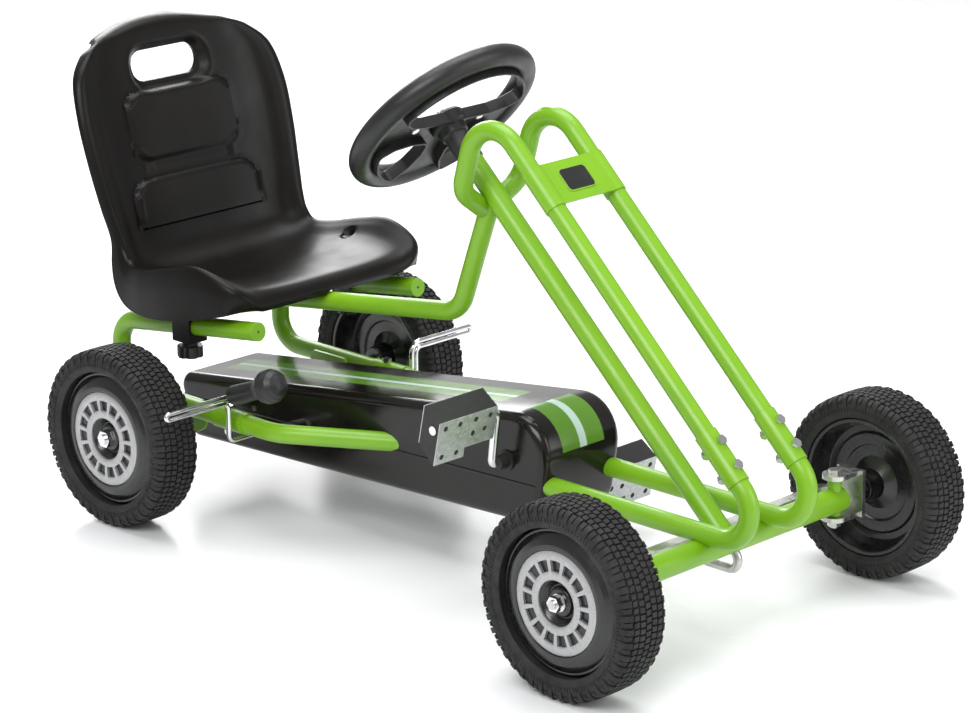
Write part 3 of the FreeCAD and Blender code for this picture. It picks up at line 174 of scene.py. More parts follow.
def makeCasePlastic():
    # gloss black cover; along its top a painted reflection of the green tube above it, a green band with a
    # pale line of painted highlight down its middle; a short green patch with a pale middle line over the
    # nose
    material, tree, shader = startMaterial("caseMoulding", (0.006, 0.0055, 0.005), 0.16)
    shader.inputs["Specular IOR Level"].default_value = 0.4
    spot = addNode(tree, "ShaderNodeSeparateXYZ", {}, {0: place(tree)})
    x, y, z = spot.outputs
    line = math2(tree, "MULTIPLY_ADD", x, caseTop["slope"])
    tree.nodes[-1].inputs[2].default_value = caseTop["topHeight"] - caseTop["topRear"] * caseTop["slope"]
    onTop = remap(tree, math2(tree, "SUBTRACT", z, line), -0.0025, -0.0015, 0.0, 1.0)
    side = math2(tree, "ABSOLUTE", y)
    # painted reflection of the green tube, on the case's top face only
    tubeReflection = math2(tree, "MULTIPLY", inside(tree, x, caseTop["bandRear"], caseTop["bandFront"]), onTop)
    patch = inside(tree, x, caseTop["patchRear"], caseTop["patchFront"])
    patch = math2(tree, "MULTIPLY", patch,
        remap(tree, z, caseTop["patchFloor"], caseTop["patchFloor"] + 0.001, 0.0, 1.0))
    reflectedTubeGreen = math2(tree, "MULTIPLY", tubeReflection, inside(tree, side, -1.0, caseTop["bandHalf"]))
    # pale middle line: the painted highlight of the reflected tube
    reflectedTubeHighlight = math2(tree, "MULTIPLY", tubeReflection, inside(tree, side, -1.0, caseTop["lineHalf"]))
    patchGreen = math2(tree, "MULTIPLY", patch, inside(tree, side, -1.0, caseTop["patchHalf"]))
    patchLine = math2(tree, "MULTIPLY", patch, inside(tree, side, -1.0, caseTop["patchLineHalf"]))
    green = math2(tree, "MAXIMUM", reflectedTubeGreen, patchGreen)
    pale = math2(tree, "MAXIMUM", reflectedTubeHighlight, patchLine)
    scuff = remap(tree, noise(tree, 60.0, 8.0, (0.2, 1.0, 1.0)), 0.6, 0.8, 0.0, 0.25)
    black = blendColour(tree, scuff, (0.007, 0.006, 0.005), (0.02, 0.018, 0.015))
    # green of the painted tube reflection and of the nose patch
    colour = blendColour(tree, green, black, (0.10, 0.24, 0.025))
    # pale of the painted highlight line and of the nose patch's middle line
    setInput(tree, shader, "Base Color", blendColour(tree, pale, colour, (0.48, 0.62, 0.56)))
    setInput(tree, shader, "Roughness", remap(tree, noise(tree, 30.0, 6.0), 0.35, 0.75, 0.12, 0.24))
    addBump(tree, shader, noise(tree, 12.0, 2.0), 0.0006, 0.12)
    return material


def makeBlackPlastic(name, colour, rough, grainScale, grainDepth, coat=0.0):
    material, tree, shader = startMaterial(name, colour, rough, coat=coat)
    lighter = tuple(2.2 * value + 0.004 for value in colour)
    dust = remap(tree, noise(tree, 45.0, 6.0), 0.5, 0.8, 0.0, 0.35)
    setInput(tree, shader, "Base Color", blendColour(tree, dust, colour, lighter))
    setInput(tree, shader, "Roughness",
        remap(tree, noise(tree, 60.0, 4.0), 0.3, 0.7, rough - 0.06, rough + 0.08))
    addBump(tree, shader, noise(tree, grainScale, 3.0), grainDepth, 0.4)
    return material


def makeTyreRubber():
    # matt rubber, greyed in random patches by dust
    material, tree, shader = startMaterial("tyreRubber", (0.018, 0.018, 0.018), 0.75)
    dust = remap(tree, noise(tree, 38.0, 8.0), 0.35, 0.7, 0.0, 1.0)
    setInput(tree, shader, "Base Color",
        blendColour(tree, dust, (0.008, 0.008, 0.0085), (0.020, 0.0195, 0.019)))
    setInput(tree, shader, "Roughness", remap(tree, noise(tree, 120.0, 4.0), 0.3, 0.7, 0.62, 0.85))
    coarse = addBump(tree, shader, noise(tree, 420.0, 4.0), 0.0003, 0.4)
    addBump(tree, shader, noise(tree, 1800.0, 2.0), 0.0001, 0.4, coarse)
    return material


def makeSilverPaint():
    # silver lacquer on plastic, with its fine flake
    material, tree, shader = startMaterial("silverLacquer", (0.42, 0.42, 0.425), 0.38, metallic=0.55)
    values = {"Vector": place(tree), "Scale": 1600.0}
    flake = addNode(tree, "ShaderNodeTexVoronoi", {}, values).outputs["Color"]
    flakeGrey = addNode(tree, "ShaderNodeSeparateColor", {}, {0: flake}).outputs[0]
    shade = remap(tree, flakeGrey, 0.0, 1.0, 0.0, 1.0)
    setInput(tree, shader, "Base Color", blendColour(tree, shade, (0.34, 0.34, 0.345), (0.5, 0.5, 0.505)))
    setInput(tree, shader, "Roughness", remap(tree, noise(tree, 50.0, 4.0), 0.3, 0.7, 0.32, 0.46))
    addBump(tree, shader, noise(tree, 700.0, 2.0), 0.00006, 0.4)
    return material


def makeMetal(name, colour, second, rough, patchScale, bumpScale, bumpDepth, stretch=(1, 1, 1)):
    material, tree, shader = startMaterial(name, colour, rough, metallic=1.0)
    patch = remap(tree, noise(tree, patchScale, 6.0, stretch), 0.35, 0.65, 0.0, 1.0)
    setInput(tree, shader, "Base Color", blendColour(tree, patch, colour, second))
    setInput(tree, shader, "Roughness",
        remap(tree, noise(tree, patchScale * 2.3, 5.0, stretch), 0.3, 0.7, rough * 0.75, rough * 1.35))
    addBump(tree, shader, noise(tree, bumpScale, 3.0, stretch), bumpDepth, 0.35)
    return material


def makeGalvanised():
    # hot-dip zinc: flat crystals of slightly different greys, with a fine speckle
    material, tree, shader = startMaterial("galvanisedSheet", (0.5, 0.52, 0.52), 0.42, metallic=0.85)
    crystal = addNode(tree, "ShaderNodeTexVoronoi", {},
        {"Vector": place(tree), "Scale": 260.0}).outputs["Color"]
    tone = addNode(tree, "ShaderNodeSeparateColor", {}, {0: crystal}).outputs[0]
    speck = remap(tree, noise(tree, 900.0, 3.0), 0.45, 0.6, 0.0, 0.5)
    base = blendColour(tree, tone, (0.42, 0.44, 0.44), (0.62, 0.64, 0.63))
    setInput(tree, shader, "Base Color", blendColour(tree, speck, base, (0.30, 0.32, 0.31)))
    setInput(tree, shader, "Roughness", remap(tree, tone, 0.0, 1.0, 0.34, 0.55))
    addBump(tree, shader, tone, 0.00005, 0.5)
    return material


finish = {
    "green": makePaint(),
    "seat": makeSeatPlastic(),
    "case": makeCasePlastic(),
    "wheel": makeBlackPlastic("wheelMoulding", (0.008, 0.008, 0.008), 0.24, 900.0, 0.00004, coat=0.2),
    "grip": makeBlackPlastic("gripMoulding", (0.010, 0.010, 0.010), 0.4, 1300.0, 0.00012),
    "pedal": makeBlackPlastic("pedalMoulding", (0.016, 0.016, 0.016), 0.55, 800.0, 0.00025),
    "bush": makeBlackPlastic("bushNylon", (0.014, 0.014, 0.014), 0.5, 1500.0, 0.00006),
    "tyre": makeTyreRubber(),
    "silver": makeSilverPaint(),
    "galvanised": makeGalvanised(),
    "zinc": makeMetal("zincPlate", (0.62, 0.62, 0.60), (0.50, 0.50, 0.46), 0.34, 70.0, 900.0, 0.00006),
    "chrome": makeMetal("brightPlate", (0.80, 0.80, 0.80), (0.70, 0.70, 0.71), 0.14, 60.0, 500.0, 0.00003),
    "dark": makeMetal("oiledSteel", (0.16, 0.15, 0.14), (0.09, 0.085, 0.08), 0.45, 160.0, 1200.0, 0.0001),
}
slotFinish = {
    "green_paint": "green", "cap_plastic": "green", "zinc": "zinc", "bright_steel": "chrome",
    "galvanised": "galvanised",
    "seat_plastic": "seat", "case_plastic": "case", "wheel_plastic": "wheel", "ring_plastic": "silver",
    "tyre": "tyre",
    "bush_plastic": "bush", "grip_plastic": "grip", "pedal_plastic": "pedal", "dark_steel": "dark",
}
pieceFinish = {"seat_bolts": "dark"}
for entry in frame["record"]["subparts"]:
    mesh = nodes[entry["node"]].data
    mesh.materials.clear()
    mesh.materials.append(finish[pieceFinish.get(entry["node"], slotFinish[entry["material_slot"]])])
print("finishes made,", len(finish))


# mesh helpers

def newPiece(name, points, faces, material, smoothAngle=40.0):
    mesh = bpy.data.meshes.new(name)
    mesh.from_pydata([tuple(point) for point in points], [], faces)
    mesh.materials.append(material)
    shell = bmesh.new()
    shell.from_mesh(mesh)
    bmesh.ops.remove_doubles(shell, verts=shell.verts, dist=1e-6)
    bmesh.ops.recalc_face_normals(shell, faces=shell.faces)
    shell.to_mesh(mesh)
    shell.free()
    piece = bpy.data.objects.new(name, mesh)
    bpy.context.scene.collection.objects.link(piece)
    shadeByAngle(piece, smoothAngle)
    return piece


def shadeByAngle(piece, degrees):
    mesh = piece.data
    mesh.polygons.foreach_set("use_smooth", [True] * len(mesh.polygons))
    mesh.set_sharp_from_angle(angle=math.radians(degrees))


def freeze(piece, smoothAngle=40.0):
    # the modifiers' result becomes the piece's own mesh
    bpy.context.view_layer.update()
    evaluated = piece.evaluated_get(bpy.context.evaluated_depsgraph_get())
    mesh = bpy.data.meshes.new_from_object(evaluated)
    piece.modifiers.clear()
    piece.data = mesh
    shadeByAngle(piece, smoothAngle)
    return piece


def settle(piece, body, slotName, *stoodFor):
    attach(piece, body)
    if stoodFor:
        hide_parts(*stoodFor)
    return piece


def roundCorners(points, radius, steps=4):
    # a closed outline in two dimensions, each corner rounded by its own arc
    result = []
    count = len(points)
    radii = radius if isinstance(radius, (list, tuple)) else [radius] * count
    for index in range(count):
        before, corner, after = (np.array(points[(index + step) % count], float) for step in (-1, 0, 1))
        back, ahead = before - corner, after - corner
        backLong, aheadLong = np.linalg.norm(back), np.linalg.norm(ahead)
        back, ahead = back / backLong, ahead / aheadLong
        halfTurn = math.acos(np.clip(np.dot(back, ahead), -1, 1)) / 2
        reach = min(radii[index] / max(math.tan(halfTurn), 1e-6), 0.47 * backLong, 0.47 * aheadLong)
        bend = reach * math.tan(halfTurn)
        inward = (back + ahead) / max(np.linalg.norm(back + ahead), 1e-9)
        centre = corner + inward * bend / max(math.sin(halfTurn), 1e-6)
        first = corner + back * reach - centre
        last = corner + ahead * reach - centre
        swing = math.atan2(first[0] * last[1] - first[1] * last[0], np.dot(first, last))
        for step in range(steps + 1):
            angle = swing * step / steps
            turn = np.array([[math.cos(angle), -math.sin(angle)], [math.sin(angle), math.cos(angle)]])
            result.append(centre + turn @ first)
    return [tuple(point) for point in result]


def offsetLoop(points, distance):
    # a closed outline moved outwards, along the normal at each point
    loop = np.array(points, float)
    tangent = np.roll(loop, -1, 0) - np.roll(loop, 1, 0)
    tangent /= np.maximum(np.linalg.norm(tangent, axis=1, keepdims=True), 1e-9)
    normal = np.stack([tangent[:, 1], -tangent[:, 0]], 1)
    area = np.sum(loop[:, 0] * np.roll(loop[:, 1], -1) - np.roll(loop[:, 0], -1) * loop[:, 1])
    return loop + normal * distance * (1 if area > 0 else -1)


def skin(loops, closed=False):
    # faces between loops of equal length, given as one list of points
    points = [tuple(point) for loop in loops for point in loop]
    count = len(loops[0])
    faces = []
    for row in range(len(loops) - (0 if closed else 1)):
        following = (row + 1) % len(loops)
        for index in range(count):
            other = (index + 1) % count
            faces.append((row * count + index, row * count + other, following * count + other,
                following * count + index))
    return points, faces


def lathe(name, outline, material, centre, side, segments=96, smoothAngle=35.0):
    # outline is a closed loop of (radius, outward place); it turns round the axle at centre
    points, faces = [], []
    count = len(outline)
    for turn in range(segments):
        angle = 2 * math.pi * turn / segments
        for radius, out in outline:
            points.append((centre[0] + radius * math.sin(angle), centre[1] + side * out,
                centre[2] + radius * math.cos(angle)))
    for turn in range(segments):
        following = (turn + 1) % segments
        for index in range(count):
            other = (index + 1) % count
            faces.append((turn * count + index, turn * count + other, following * count + other,
                following * count + index))
    return newPiece(name, points, faces, material, smoothAngle)


# geometry nodes: one shape repeated round an axle

def buildRepeatTree():
    tree = bpy.data.node_groups.new("repeatRoundAxle", "GeometryNodeTree")
    kinds = {"Geometry": "Geometry", "Count": "Int", "Start Turn": "Float", "Centre": "Vector",
             "Weld Distance": "Float", "Finish": "Material"}
    for name, kind in kinds.items():
        tree.interface.new_socket(name, in_out="INPUT", socket_type="NodeSocket" + kind)
    tree.interface.new_socket("Geometry", in_out="OUTPUT", socket_type="NodeSocketGeometry")
    given = addNode(tree, "NodeGroupInput").outputs
    spots = addNode(tree, "GeometryNodePoints", {}, {"Count": given["Count"]})
    index = addNode(tree, "GeometryNodeInputIndex").outputs[0]
    pitch = addNode(tree, "ShaderNodeMath", {"operation": "DIVIDE"},
        {0: 2 * math.pi, 1: given["Count"]}).outputs[0]
    steps = addNode(tree, "ShaderNodeMath", {"operation": "MULTIPLY"}, {0: index, 1: pitch}).outputs[0]
    turn = addNode(tree, "ShaderNodeMath", {"operation": "ADD"},
        {0: steps, 1: given["Start Turn"]}).outputs[0]
    euler = addNode(tree, "ShaderNodeCombineXYZ", {}, {"Y": turn}).outputs[0]
    rotation = addNode(tree, "FunctionNodeEulerToRotation", {}, {0: euler}).outputs[0]
    copies = addNode(tree, "GeometryNodeInstanceOnPoints", {}, {
        "Points": spots.outputs[0], "Instance": given["Geometry"], "Rotation": rotation}).outputs[0]
    real = addNode(tree, "GeometryNodeRealizeInstances", {}, {0: copies}).outputs[0]
    welded = addNode(tree, "GeometryNodeMergeByDistance", {},
        {"Geometry": real, "Distance": given["Weld Distance"]}).outputs[0]
    moved = addNode(tree, "GeometryNodeTransform", {},
        {"Geometry": welded, "Translation": given["Centre"]}).outputs[0]
    finished = addNode(tree, "GeometryNodeSetMaterial", {},
        {"Geometry": moved, "Material": given["Finish"]}).outputs[0]
    result = addNode(tree, "NodeGroupOutput")
    tree.links.new(finished, result.inputs[0])
    return tree


repeatTree = buildRepeatTree()


def repeatRound(piece, centre, count, material, startTurn=0.0, weld=0.0, smoothAngle=35.0):
    modifier = piece.modifiers.new("repeat", "NODES")
    modifier.node_group = repeatTree
    given = {"Count": count, "Start Turn": startTurn, "Centre": centre, "Weld Distance": weld,
        "Finish": material}
    for item in repeatTree.interface.items_tree:
        if item.in_out == "INPUT" and item.name in given:
            modifier[item.identifier] = given[item.name]
    return freeze(piece, smoothAngle)


# wheels

tyreSpec = {"radius": 0.105, "half": 0.0297, "pitches": 44, "segments": 176}
wheelSpec = {"seat": 0.0185, "ringOuter": 0.0549, "ringInner": 0.0246, "ringFace": 0.0247,
    "ringThick": 0.0035,
             "windows": 15, "windowInner": 0.0335, "windowOuter": 0.0455}


def wheelPlace(joint, side):
    x, y, z = joints[joint]["pos_m"]
    return Vector((x, side * abs(y), z))


wheels = {
    "front_right": (wheelPlace("wheel_front_right_spin", -1), -1, "wheel_front_right"),
    "front_left": (wheelPlace("wheel_front_left_spin", 1), 1, "wheel_front_left"),
    "rear_right": (wheelPlace("wheel_rear_left_spin", -1), -1, "rear_axle"),
    "rear_left": (wheelPlace("wheel_rear_left_spin", 1), 1, "wheel_rear_left"),
}


def crown(place):
    # tread radius at a distance from the middle of the tyre
    return tyreSpec["radius"] - 0.0002 - 0.0019 * (abs(place) / tyreSpec["half"]) ** 3


def addTreadBlock(points, faces, outline, first, last, lean=0.0):
    # a closed block between two angles, from its (radius, place) outline
    base = len(points)
    count = len(outline)
    for angle in (first, last):
        for radius, across in outline:
            turn = angle + lean * across
            points.append((radius * math.sin(turn), across, radius * math.cos(turn)))
    faces.append(tuple(base + index for index in range(count)))
    faces.append(tuple(base + count + index for index in reversed(range(count))))
    for index in range(count):
        other = (index + 1) % count
        faces.append((base + index, base + count + index, base + count + other, base + other))


def treadPitch():
    # one pitch of the tread: five staggered rows of low bars, shoulder lugs and fine ribs beside them
    points, faces = [], []
    pitch = 2 * math.pi / tyreSpec["pitches"]
    rows = [(-0.0205, -0.0135), (-0.0122, -0.0048), (-0.0036, 0.0036), (0.0048, 0.0122),
            (0.0135, 0.0205)]
    for number, (low, high) in enumerate(rows):
        for half in (0, 1):
            first = pitch * (0.5 * half + (0.25 if number % 2 else 0.0) + 0.06)
            low_, high_ = low + 0.0004, high - 0.0004
            outline = [(0.1008, low), (crown(low_), low_), (crown(high_), high_), (0.1008, high)]
            addTreadBlock(points, faces, outline, first, first + 0.36 * pitch,
                lean=0.9 if number % 2 else -0.9)
    for side in (-1, 1):
        shift = 0.5 * pitch if side > 0 else 0.0
        lug = [(0.0995, 0.0218), (0.1043, 0.0220), (0.1034, 0.0252), (0.1008, 0.0281), (0.0962, 0.0294),
               (0.0915, 0.0296), (0.0905, 0.0280), (0.0950, 0.0262)]
        short = [(0.0990, 0.0222), (0.1030, 0.0224), (0.1016, 0.0258), (0.0992, 0.0282),
                 (0.0968, 0.0286), (0.0965, 0.0262)]
        rib = [(0.0915, 0.0270), (0.0912, 0.0292), (0.0868, 0.0293), (0.0862, 0.0272)]
        for outline, first, wide in ((lug, 0.06, 0.42), (short, 0.58, 0.34)):
            shape = [(radius, side * across) for radius, across in outline]
            addTreadBlock(points, faces, shape, shift + first * pitch, shift + (first + wide) * pitch)
        for step in range(3):
            first = shift + (0.08 + 0.3 * step) * pitch
            addTreadBlock(points, faces, [(radius, side * across) for radius, across in rib], first,
                first + 0.12 * pitch)
    return points, faces


def makeTyre(name, centre, side, body):
    outline = [(0.0782, -0.0247), (0.0800, -0.0262), (0.0832, -0.0277), (0.0862, -0.0282),
               (0.0905, -0.0288), (0.0955, -0.0280), (0.0990, -0.0262), (0.1008, -0.0230),
               (0.1016, -0.0180), (0.1018, 0.0), (0.1016, 0.0180), (0.1008, 0.0230), (0.0990, 0.0262),
               (0.0955, 0.0280), (0.0905, 0.0288), (0.0862, 0.0282), (0.0832, 0.0277), (0.0800, 0.0262),
               (0.0782, 0.0247), (0.0800, 0.0220), (0.0790, 0.0), (0.0800, -0.0220)]
    carcass = lathe(f"tyre_{name}", roundCorners(outline, 0.001, 1), finish["tyre"], centre, side,
        tyreSpec["segments"])
    points, faces = treadPitch()
    tread = newPiece(f"tread_{name}", points, faces, finish["tyre"], 30)
    repeatRound(tread, centre, tyreSpec["pitches"], finish["tyre"])
    settle(carcass, body, "tyre", f"tyre_{name}")
    settle(tread, body, "tyre")


def makeWheelDisc(name, centre, side, body, bore):
    outline = [(bore, -0.0273), (0.0150, -0.0273), (0.0160, -0.0240), (0.0168, -0.0060),
               (0.0260, -0.0010), (0.0300, 0.0010), (0.0420, 0.0016), (0.0440, -0.0010),
               (0.0560, -0.0016), (0.0580, 0.0012), (0.0655, 0.0010), (0.0705, -0.0100),
               (0.0725, -0.0205), (0.0735, -0.0240), (0.0780, -0.0245), (0.0780, 0.0165),
               (0.0762, 0.0180), (0.0740, 0.0176), (0.0722, 0.0188), (0.0670, 0.0220), (0.0610, 0.0238),
               (0.0576, 0.0240), (0.0553, 0.0236), (0.0552, 0.0210), (0.0240, 0.0210), (0.0225, 0.0196),
               (0.0180, 0.0140), (0.0165, 0.0138), (0.0150, 0.0180), (0.0130, 0.0187), (bore, 0.0187)]
    disc = lathe(f"disc_{name}", roundCorners(outline, 0.0012, 3), finish["wheel"], centre, side, 128)
    settle(disc, body, "wheel_plastic", f"wheel_{name}")


def ringSector():
    # one fifteenth of the trim ring with half a window on each side of a bar
    spec = wheelSpec
    half = math.pi / spec["windows"]
    bar = 0.26 * half
    angles = [-half, -half + 0.10 * half, -bar - 0.10 * half, -bar, bar, bar + 0.10 * half,
        half - 0.10 * half, half]
    radii = [spec["ringInner"], 0.0262, spec["windowInner"] - 0.0012, spec["windowInner"],
        spec["windowOuter"],
             spec["windowOuter"] + 0.0012, 0.0528, spec["ringOuter"]]
    drop = [0.0010, 0.0, 0.0, 0.0007, 0.0007, 0.0, 0.0002, 0.0013]
    face, thick = spec["ringFace"], spec["ringThick"]
    points, faces = [], []
    for level in (0, 1):
        for column, angle in enumerate(angles):
            for row, radius in enumerate(radii):
                lowered = drop[row] if row in (0, 6, 7) else 0.0
                if level == 0 and row in (3, 4) and column in (0, 1, 2, 5, 6, 7):
                    lowered = 0.0007
                height = face - lowered if level == 0 else face - thick
                points.append((radius * math.sin(angle), height, radius * math.cos(angle)))
    wide, tall = len(radii), len(angles)
    layer = wide * tall

    def solid(column, row):
        return not (row == 3 and column not in (3,))

    for column in range(tall - 1):
        for row in range(wide - 1):
            if not solid(column, row):
                continue
            a, b, c, d = (column * wide + row, column * wide + row + 1, (column + 1) * wide + row + 1,
                (column + 1) * wide + row)
            faces.append((a, b, c, d))
            faces.append((a + layer, d + layer, c + layer, b + layer))
            if row == 0 or not solid(column, row - 1):
                faces.append((a, d, d + layer, a + layer))
            if row == wide - 2 or not solid(column, row + 1):
                faces.append((b, b + layer, c + layer, c))
            if column > 0 and not solid(column - 1, row):
                faces.append((a, a + layer, b + layer, b))
            if column < tall - 2 and not solid(column + 1, row):
                faces.append((d, c, c + layer, d + layer))
    return points, faces


def makeRing(name, centre, side, body):
    points, faces = ringSector()
    points = [(x, side * y, z) for x, y, z in points]
    ring = newPiece(f"ring_{name}", points, faces, finish["silver"], 30)
    repeatRound(ring, centre, wheelSpec["windows"], finish["silver"], math.pi / 15, 0.00002)
    settle(ring, body, "ring_plastic", f"wheel_ring_{name}")


for name, (centre, side, body) in wheels.items():
    bore = 0.0051 if name.startswith("front") else 0.0061
    makeTyre(name, centre, side, body)
    makeWheelDisc(name, centre, side, body, bore)
    makeRing(name, centre, side, body)
print("wheels made")


# seat

seatSpec = {
    "half": 0.158, "wall": 0.004, "rows": 250, "columns": 80,
    "hole": (0.050, 0.469, 0.505, 0.016),       # half width, low, high, corner radius
    "holeRoll": 0.012, "rollWide": 0.016, "cupRadius": 0.0085, "boltHead": 0.00302,
    "padHigh": 0.0058, "padEdge": 0.0042, "grooveDeep": 0.0016, "grooveWide": 0.0022, "grooveAway": 0.003,
    # half width, low, high, corner radius of the raised pads and the neck between them
    "upperPad": (0.080, 0.384, 0.461, 0.020), "lowerPad": (0.094, 0.285, 0.361, 0.020),
    "neck": (0.064, 0.350, 0.395, 0.004),
    "tubeStart": (-0.0302, 0, 0.274), "tubeEnd": (-0.410, 0, 0.2225), "tubeClear": 0.014,
    # from the rear axle, over the hubs, facing angle, width, edge rise, rim depth, droop
    "stations": [
        (130, 150, 5, 0.66, 0, 4, 0), (132, 159, 35, 0.80, 4, 14, 0), (116, 170, 80, 0.94, 15, 32, 0),
        (70, 168, 92, 0.99, 32, 54, 0), (20, 162, 95, 1.00, 30, 56, 0), (-25, 157, 95, 0.98, 24, 50, 0),
        (-60, 159, 78, 0.94, 21, 42, 0), (-84, 174, 42, 0.92, 24, 20, 0), (-97, 200, 20, 0.92, 24, 6, 0),
        (-107, 240, 11, 0.95, 21, 5, 0), (-120, 290, 12, 0.98, 20, 5, 0), (-134, 340, 15, 0.985, 19, 5, 0),
        (-147, 385, 16, 0.93, 16, 7, 2), (-158, 416, 18, 0.79, 11, 9, 9), (-165, 430, 35, 0.66, 6, 8, 14),
        (-175, 436, 62, 0.60, 3, 5, 17), (-188, 437, 85, 0.56, 0, 3, 19),
    ],
    "across": [(0, 0, 0), (0.35, 0.03, 0), (0.62, 0.17, 0), (0.78, 0.43, 0), (0.89, 0.8, 0),
               (0.955, 0.99, 0), (1.0, 0.98, 0.06), (1.025, 0.9, 0.3), (1.035, 0.85, 0.6),
               (1.04, 0.8, 1.0)],
}


def smoothThrough(rows, count):
    # a smooth curve through the rows, sampled evenly in row number
    table = np.array(rows, float)
    padded = np.vstack([2 * table[0] - table[1], table, 2 * table[-1] - table[-2]])
    samples = np.linspace(0, len(table) - 1, count)
    low = np.minimum(samples.astype(int), len(table) - 2)
    t = (samples - low)[:, None]
    before, start, end, after = (padded[low + step] for step in range(4))
    return 0.5 * (2 * start + (end - before) * t + (2 * before - 5 * start + 4 * end - after) * t ** 2
                  + (3 * start - before - 3 * end + after) * t ** 3)


def fromBox(across, up, halfWide, low, high, corner):
    # distance outside a rounded rectangle, negative inside
    dx = np.abs(across) - (halfWide - corner)
    dz = np.abs(up - (low + high) / 2) - ((high - low) / 2 - corner)
    outside = np.hypot(np.maximum(dx, 0), np.maximum(dz, 0))
    return outside + np.minimum(np.maximum(dx, dz), 0) - corner


def easeIn(value):
    value = np.clip(value, 0, 1)
    return value * value * (3 - 2 * value)


def seatSurface():
    spec = seatSpec
    stations = smoothThrough(spec["stations"], spec["rows"])
    half = smoothThrough(spec["across"], spec["columns"])
    half = np.vstack([(-row[0], row[1], row[2]) for row in half[:0:-1]] + [half])
    grid = np.zeros((len(stations), len(half), 3))
    for index, (ahead, height, facing, wide, rise, rim, droop) in enumerate(stations):
        angle = math.radians(facing)
        level = (rise * half[:, 1] - rim * half[:, 2]) / 1000
        sunk = droop * half[:, 0] ** 2 / 1000
        grid[index, :, 0] = -0.370 + ahead / 1000 + math.cos(angle) * level + 0.243 * sunk
        grid[index, :, 1] = half[:, 0] * spec["half"] * wide
        grid[index, :, 2] = 0.105 + height / 1000 + math.sin(angle) * level - 0.970 * sunk
    return grid


def gridNormals(grid):
    along = np.gradient(grid, axis=0)
    across = np.gradient(grid, axis=1)
    normal = np.cross(across, along)
    normal /= np.maximum(np.linalg.norm(normal, axis=2, keepdims=True), 1e-9)
    return normal


def makeSeat():
    spec = seatSpec
    grid = seatSurface()
    normal = gridNormals(grid)
    middle = grid.shape[1] // 2
    if normal[spec["rows"] // 3, middle, 2] < 0:
        normal = -normal
    y, z = grid[:, :, 1], grid[:, :, 2]
    back = (np.arange(spec["rows"]) > 0.5 * spec["rows"])[:, None]
    upper = fromBox(y, z, *spec["upperPad"])
    lower = fromBox(y, z, *spec["lowerPad"])
    neck = fromBox(y, z, *spec["neck"])
    edge = spec["padEdge"]
    pad = np.maximum(easeIn(-upper / edge + 0.5), easeIn(-lower / edge + 0.5))
    raised = np.maximum(pad, 0.5 * easeIn(-neck / edge + 0.5)) * spec["padHigh"]
    away = spec["grooveAway"]
    nearest = np.minimum(np.abs(upper - away), np.abs(lower - away))
    nearest = np.minimum(nearest, np.where(pad > 0.02, 1, np.abs(neck - away)))
    raised = raised - spec["grooveDeep"] * np.exp(-(nearest / spec["grooveWide"]) ** 2) * (pad < 0.5)
    hole = fromBox(y, z, *spec["hole"])
    rolled = spec["holeRoll"] * (1 - easeIn(np.maximum(hole, 0) / spec["rollWide"])) ** 1.5
    top = grid + normal * (np.where(back, raised - rolled, 0))[:, :, None]
    under = grid - normal * (spec["wall"] + np.where(back, rolled, 0))[:, :, None]
    sinkCups(grid, top, under)
    rows, columns = grid.shape[:2]
    count = rows * columns
    points = np.vstack([top.reshape(-1, 3), under.reshape(-1, 3)])
    faces = []
    for row in range(rows - 1):
        for column in range(columns - 1):
            a = row * columns + column
            faces.append((a, a + 1, a + columns + 1, a + columns))
            faces.append((a + count, a + columns + count, a + columns + 1 + count, a + 1 + count))
    border = [column for column in range(columns)]
    border += [row * columns + columns - 1 for row in range(1, rows)]
    border += [(rows - 1) * columns + column for column in range(columns - 2, -1, -1)]
    border += [row * columns for row in range(rows - 2, 0, -1)]
    for index, vertex in enumerate(border):
        other = border[(index + 1) % len(border)]
        faces.append((vertex, vertex + count, other + count, other))
    seat = newPiece("seatShell", points, faces, finish["seat"], 60)
    cutHole(seat, handleCutter())
    cutHole(seat, tubeCutter())
    freeze(seat, 50)
    return settle(seat, "seat", "seat_plastic", "seat")


def sinkCups(grid, top, under):
    # a round cup in the pan for each bolt, with its floor under the bolt's head
    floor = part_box("seat_bolts")[1][2] - seatSpec["boltHead"]
    pan = grid[:, :, 0] > -0.41
    for side in (-1, 1):
        ahead, aside = joints["seat_knob_right_turn"]["pos_m"][:2]
        away = np.hypot(grid[:, :, 0] - ahead, grid[:, :, 1] - side * abs(aside))
        share = easeIn((seatSpec["cupRadius"] + 0.0016 - away) / 0.0032) * (pan & (grid[:, :, 2] < 0.30))
        drop = np.maximum(top[:, :, 2] - floor, 0) * share
        top[:, :, 2] -= drop
        under[:, :, 2] -= drop


def handleCutter():
    halfWide, low, high, corner = seatSpec["hole"]
    outline = roundCorners([(-halfWide, low), (halfWide, low), (halfWide, high), (-halfWide, high)],
        corner * 1.5, 10)
    points = [(x, across, up) for x in (-0.62, -0.44) for across, up in outline]
    count = len(outline)
    faces = [tuple(range(count)), tuple(reversed(range(count, 2 * count)))]
    faces += [(index, index + count, (index + 1) % count + count, (index + 1) % count)
        for index in range(count)]
    return newPiece("handleCutter", points, faces, finish["seat"])


def tubeCutter():
    # clears the seat tube under the front lip
    start, end = Vector(seatSpec["tubeStart"]), Vector(seatSpec["tubeEnd"])
    line = (end - start).normalized()
    across = Vector((0, 1, 0))
    up = line.cross(across)
    points, faces = [], []
    for place in (start, end):
        for step in range(32):
            angle = 2 * math.pi * step / 32
            points.append(place + seatSpec["tubeClear"] * (math.cos(angle) * across + math.sin(angle) * up))
    faces = [tuple(range(32)), tuple(reversed(range(32, 64)))]
    faces += [(index, index + 32, (index + 1) % 32 + 32, (index + 1) % 32) for index in range(32)]
    return newPiece("tubeCutter", points, faces, finish["seat"])


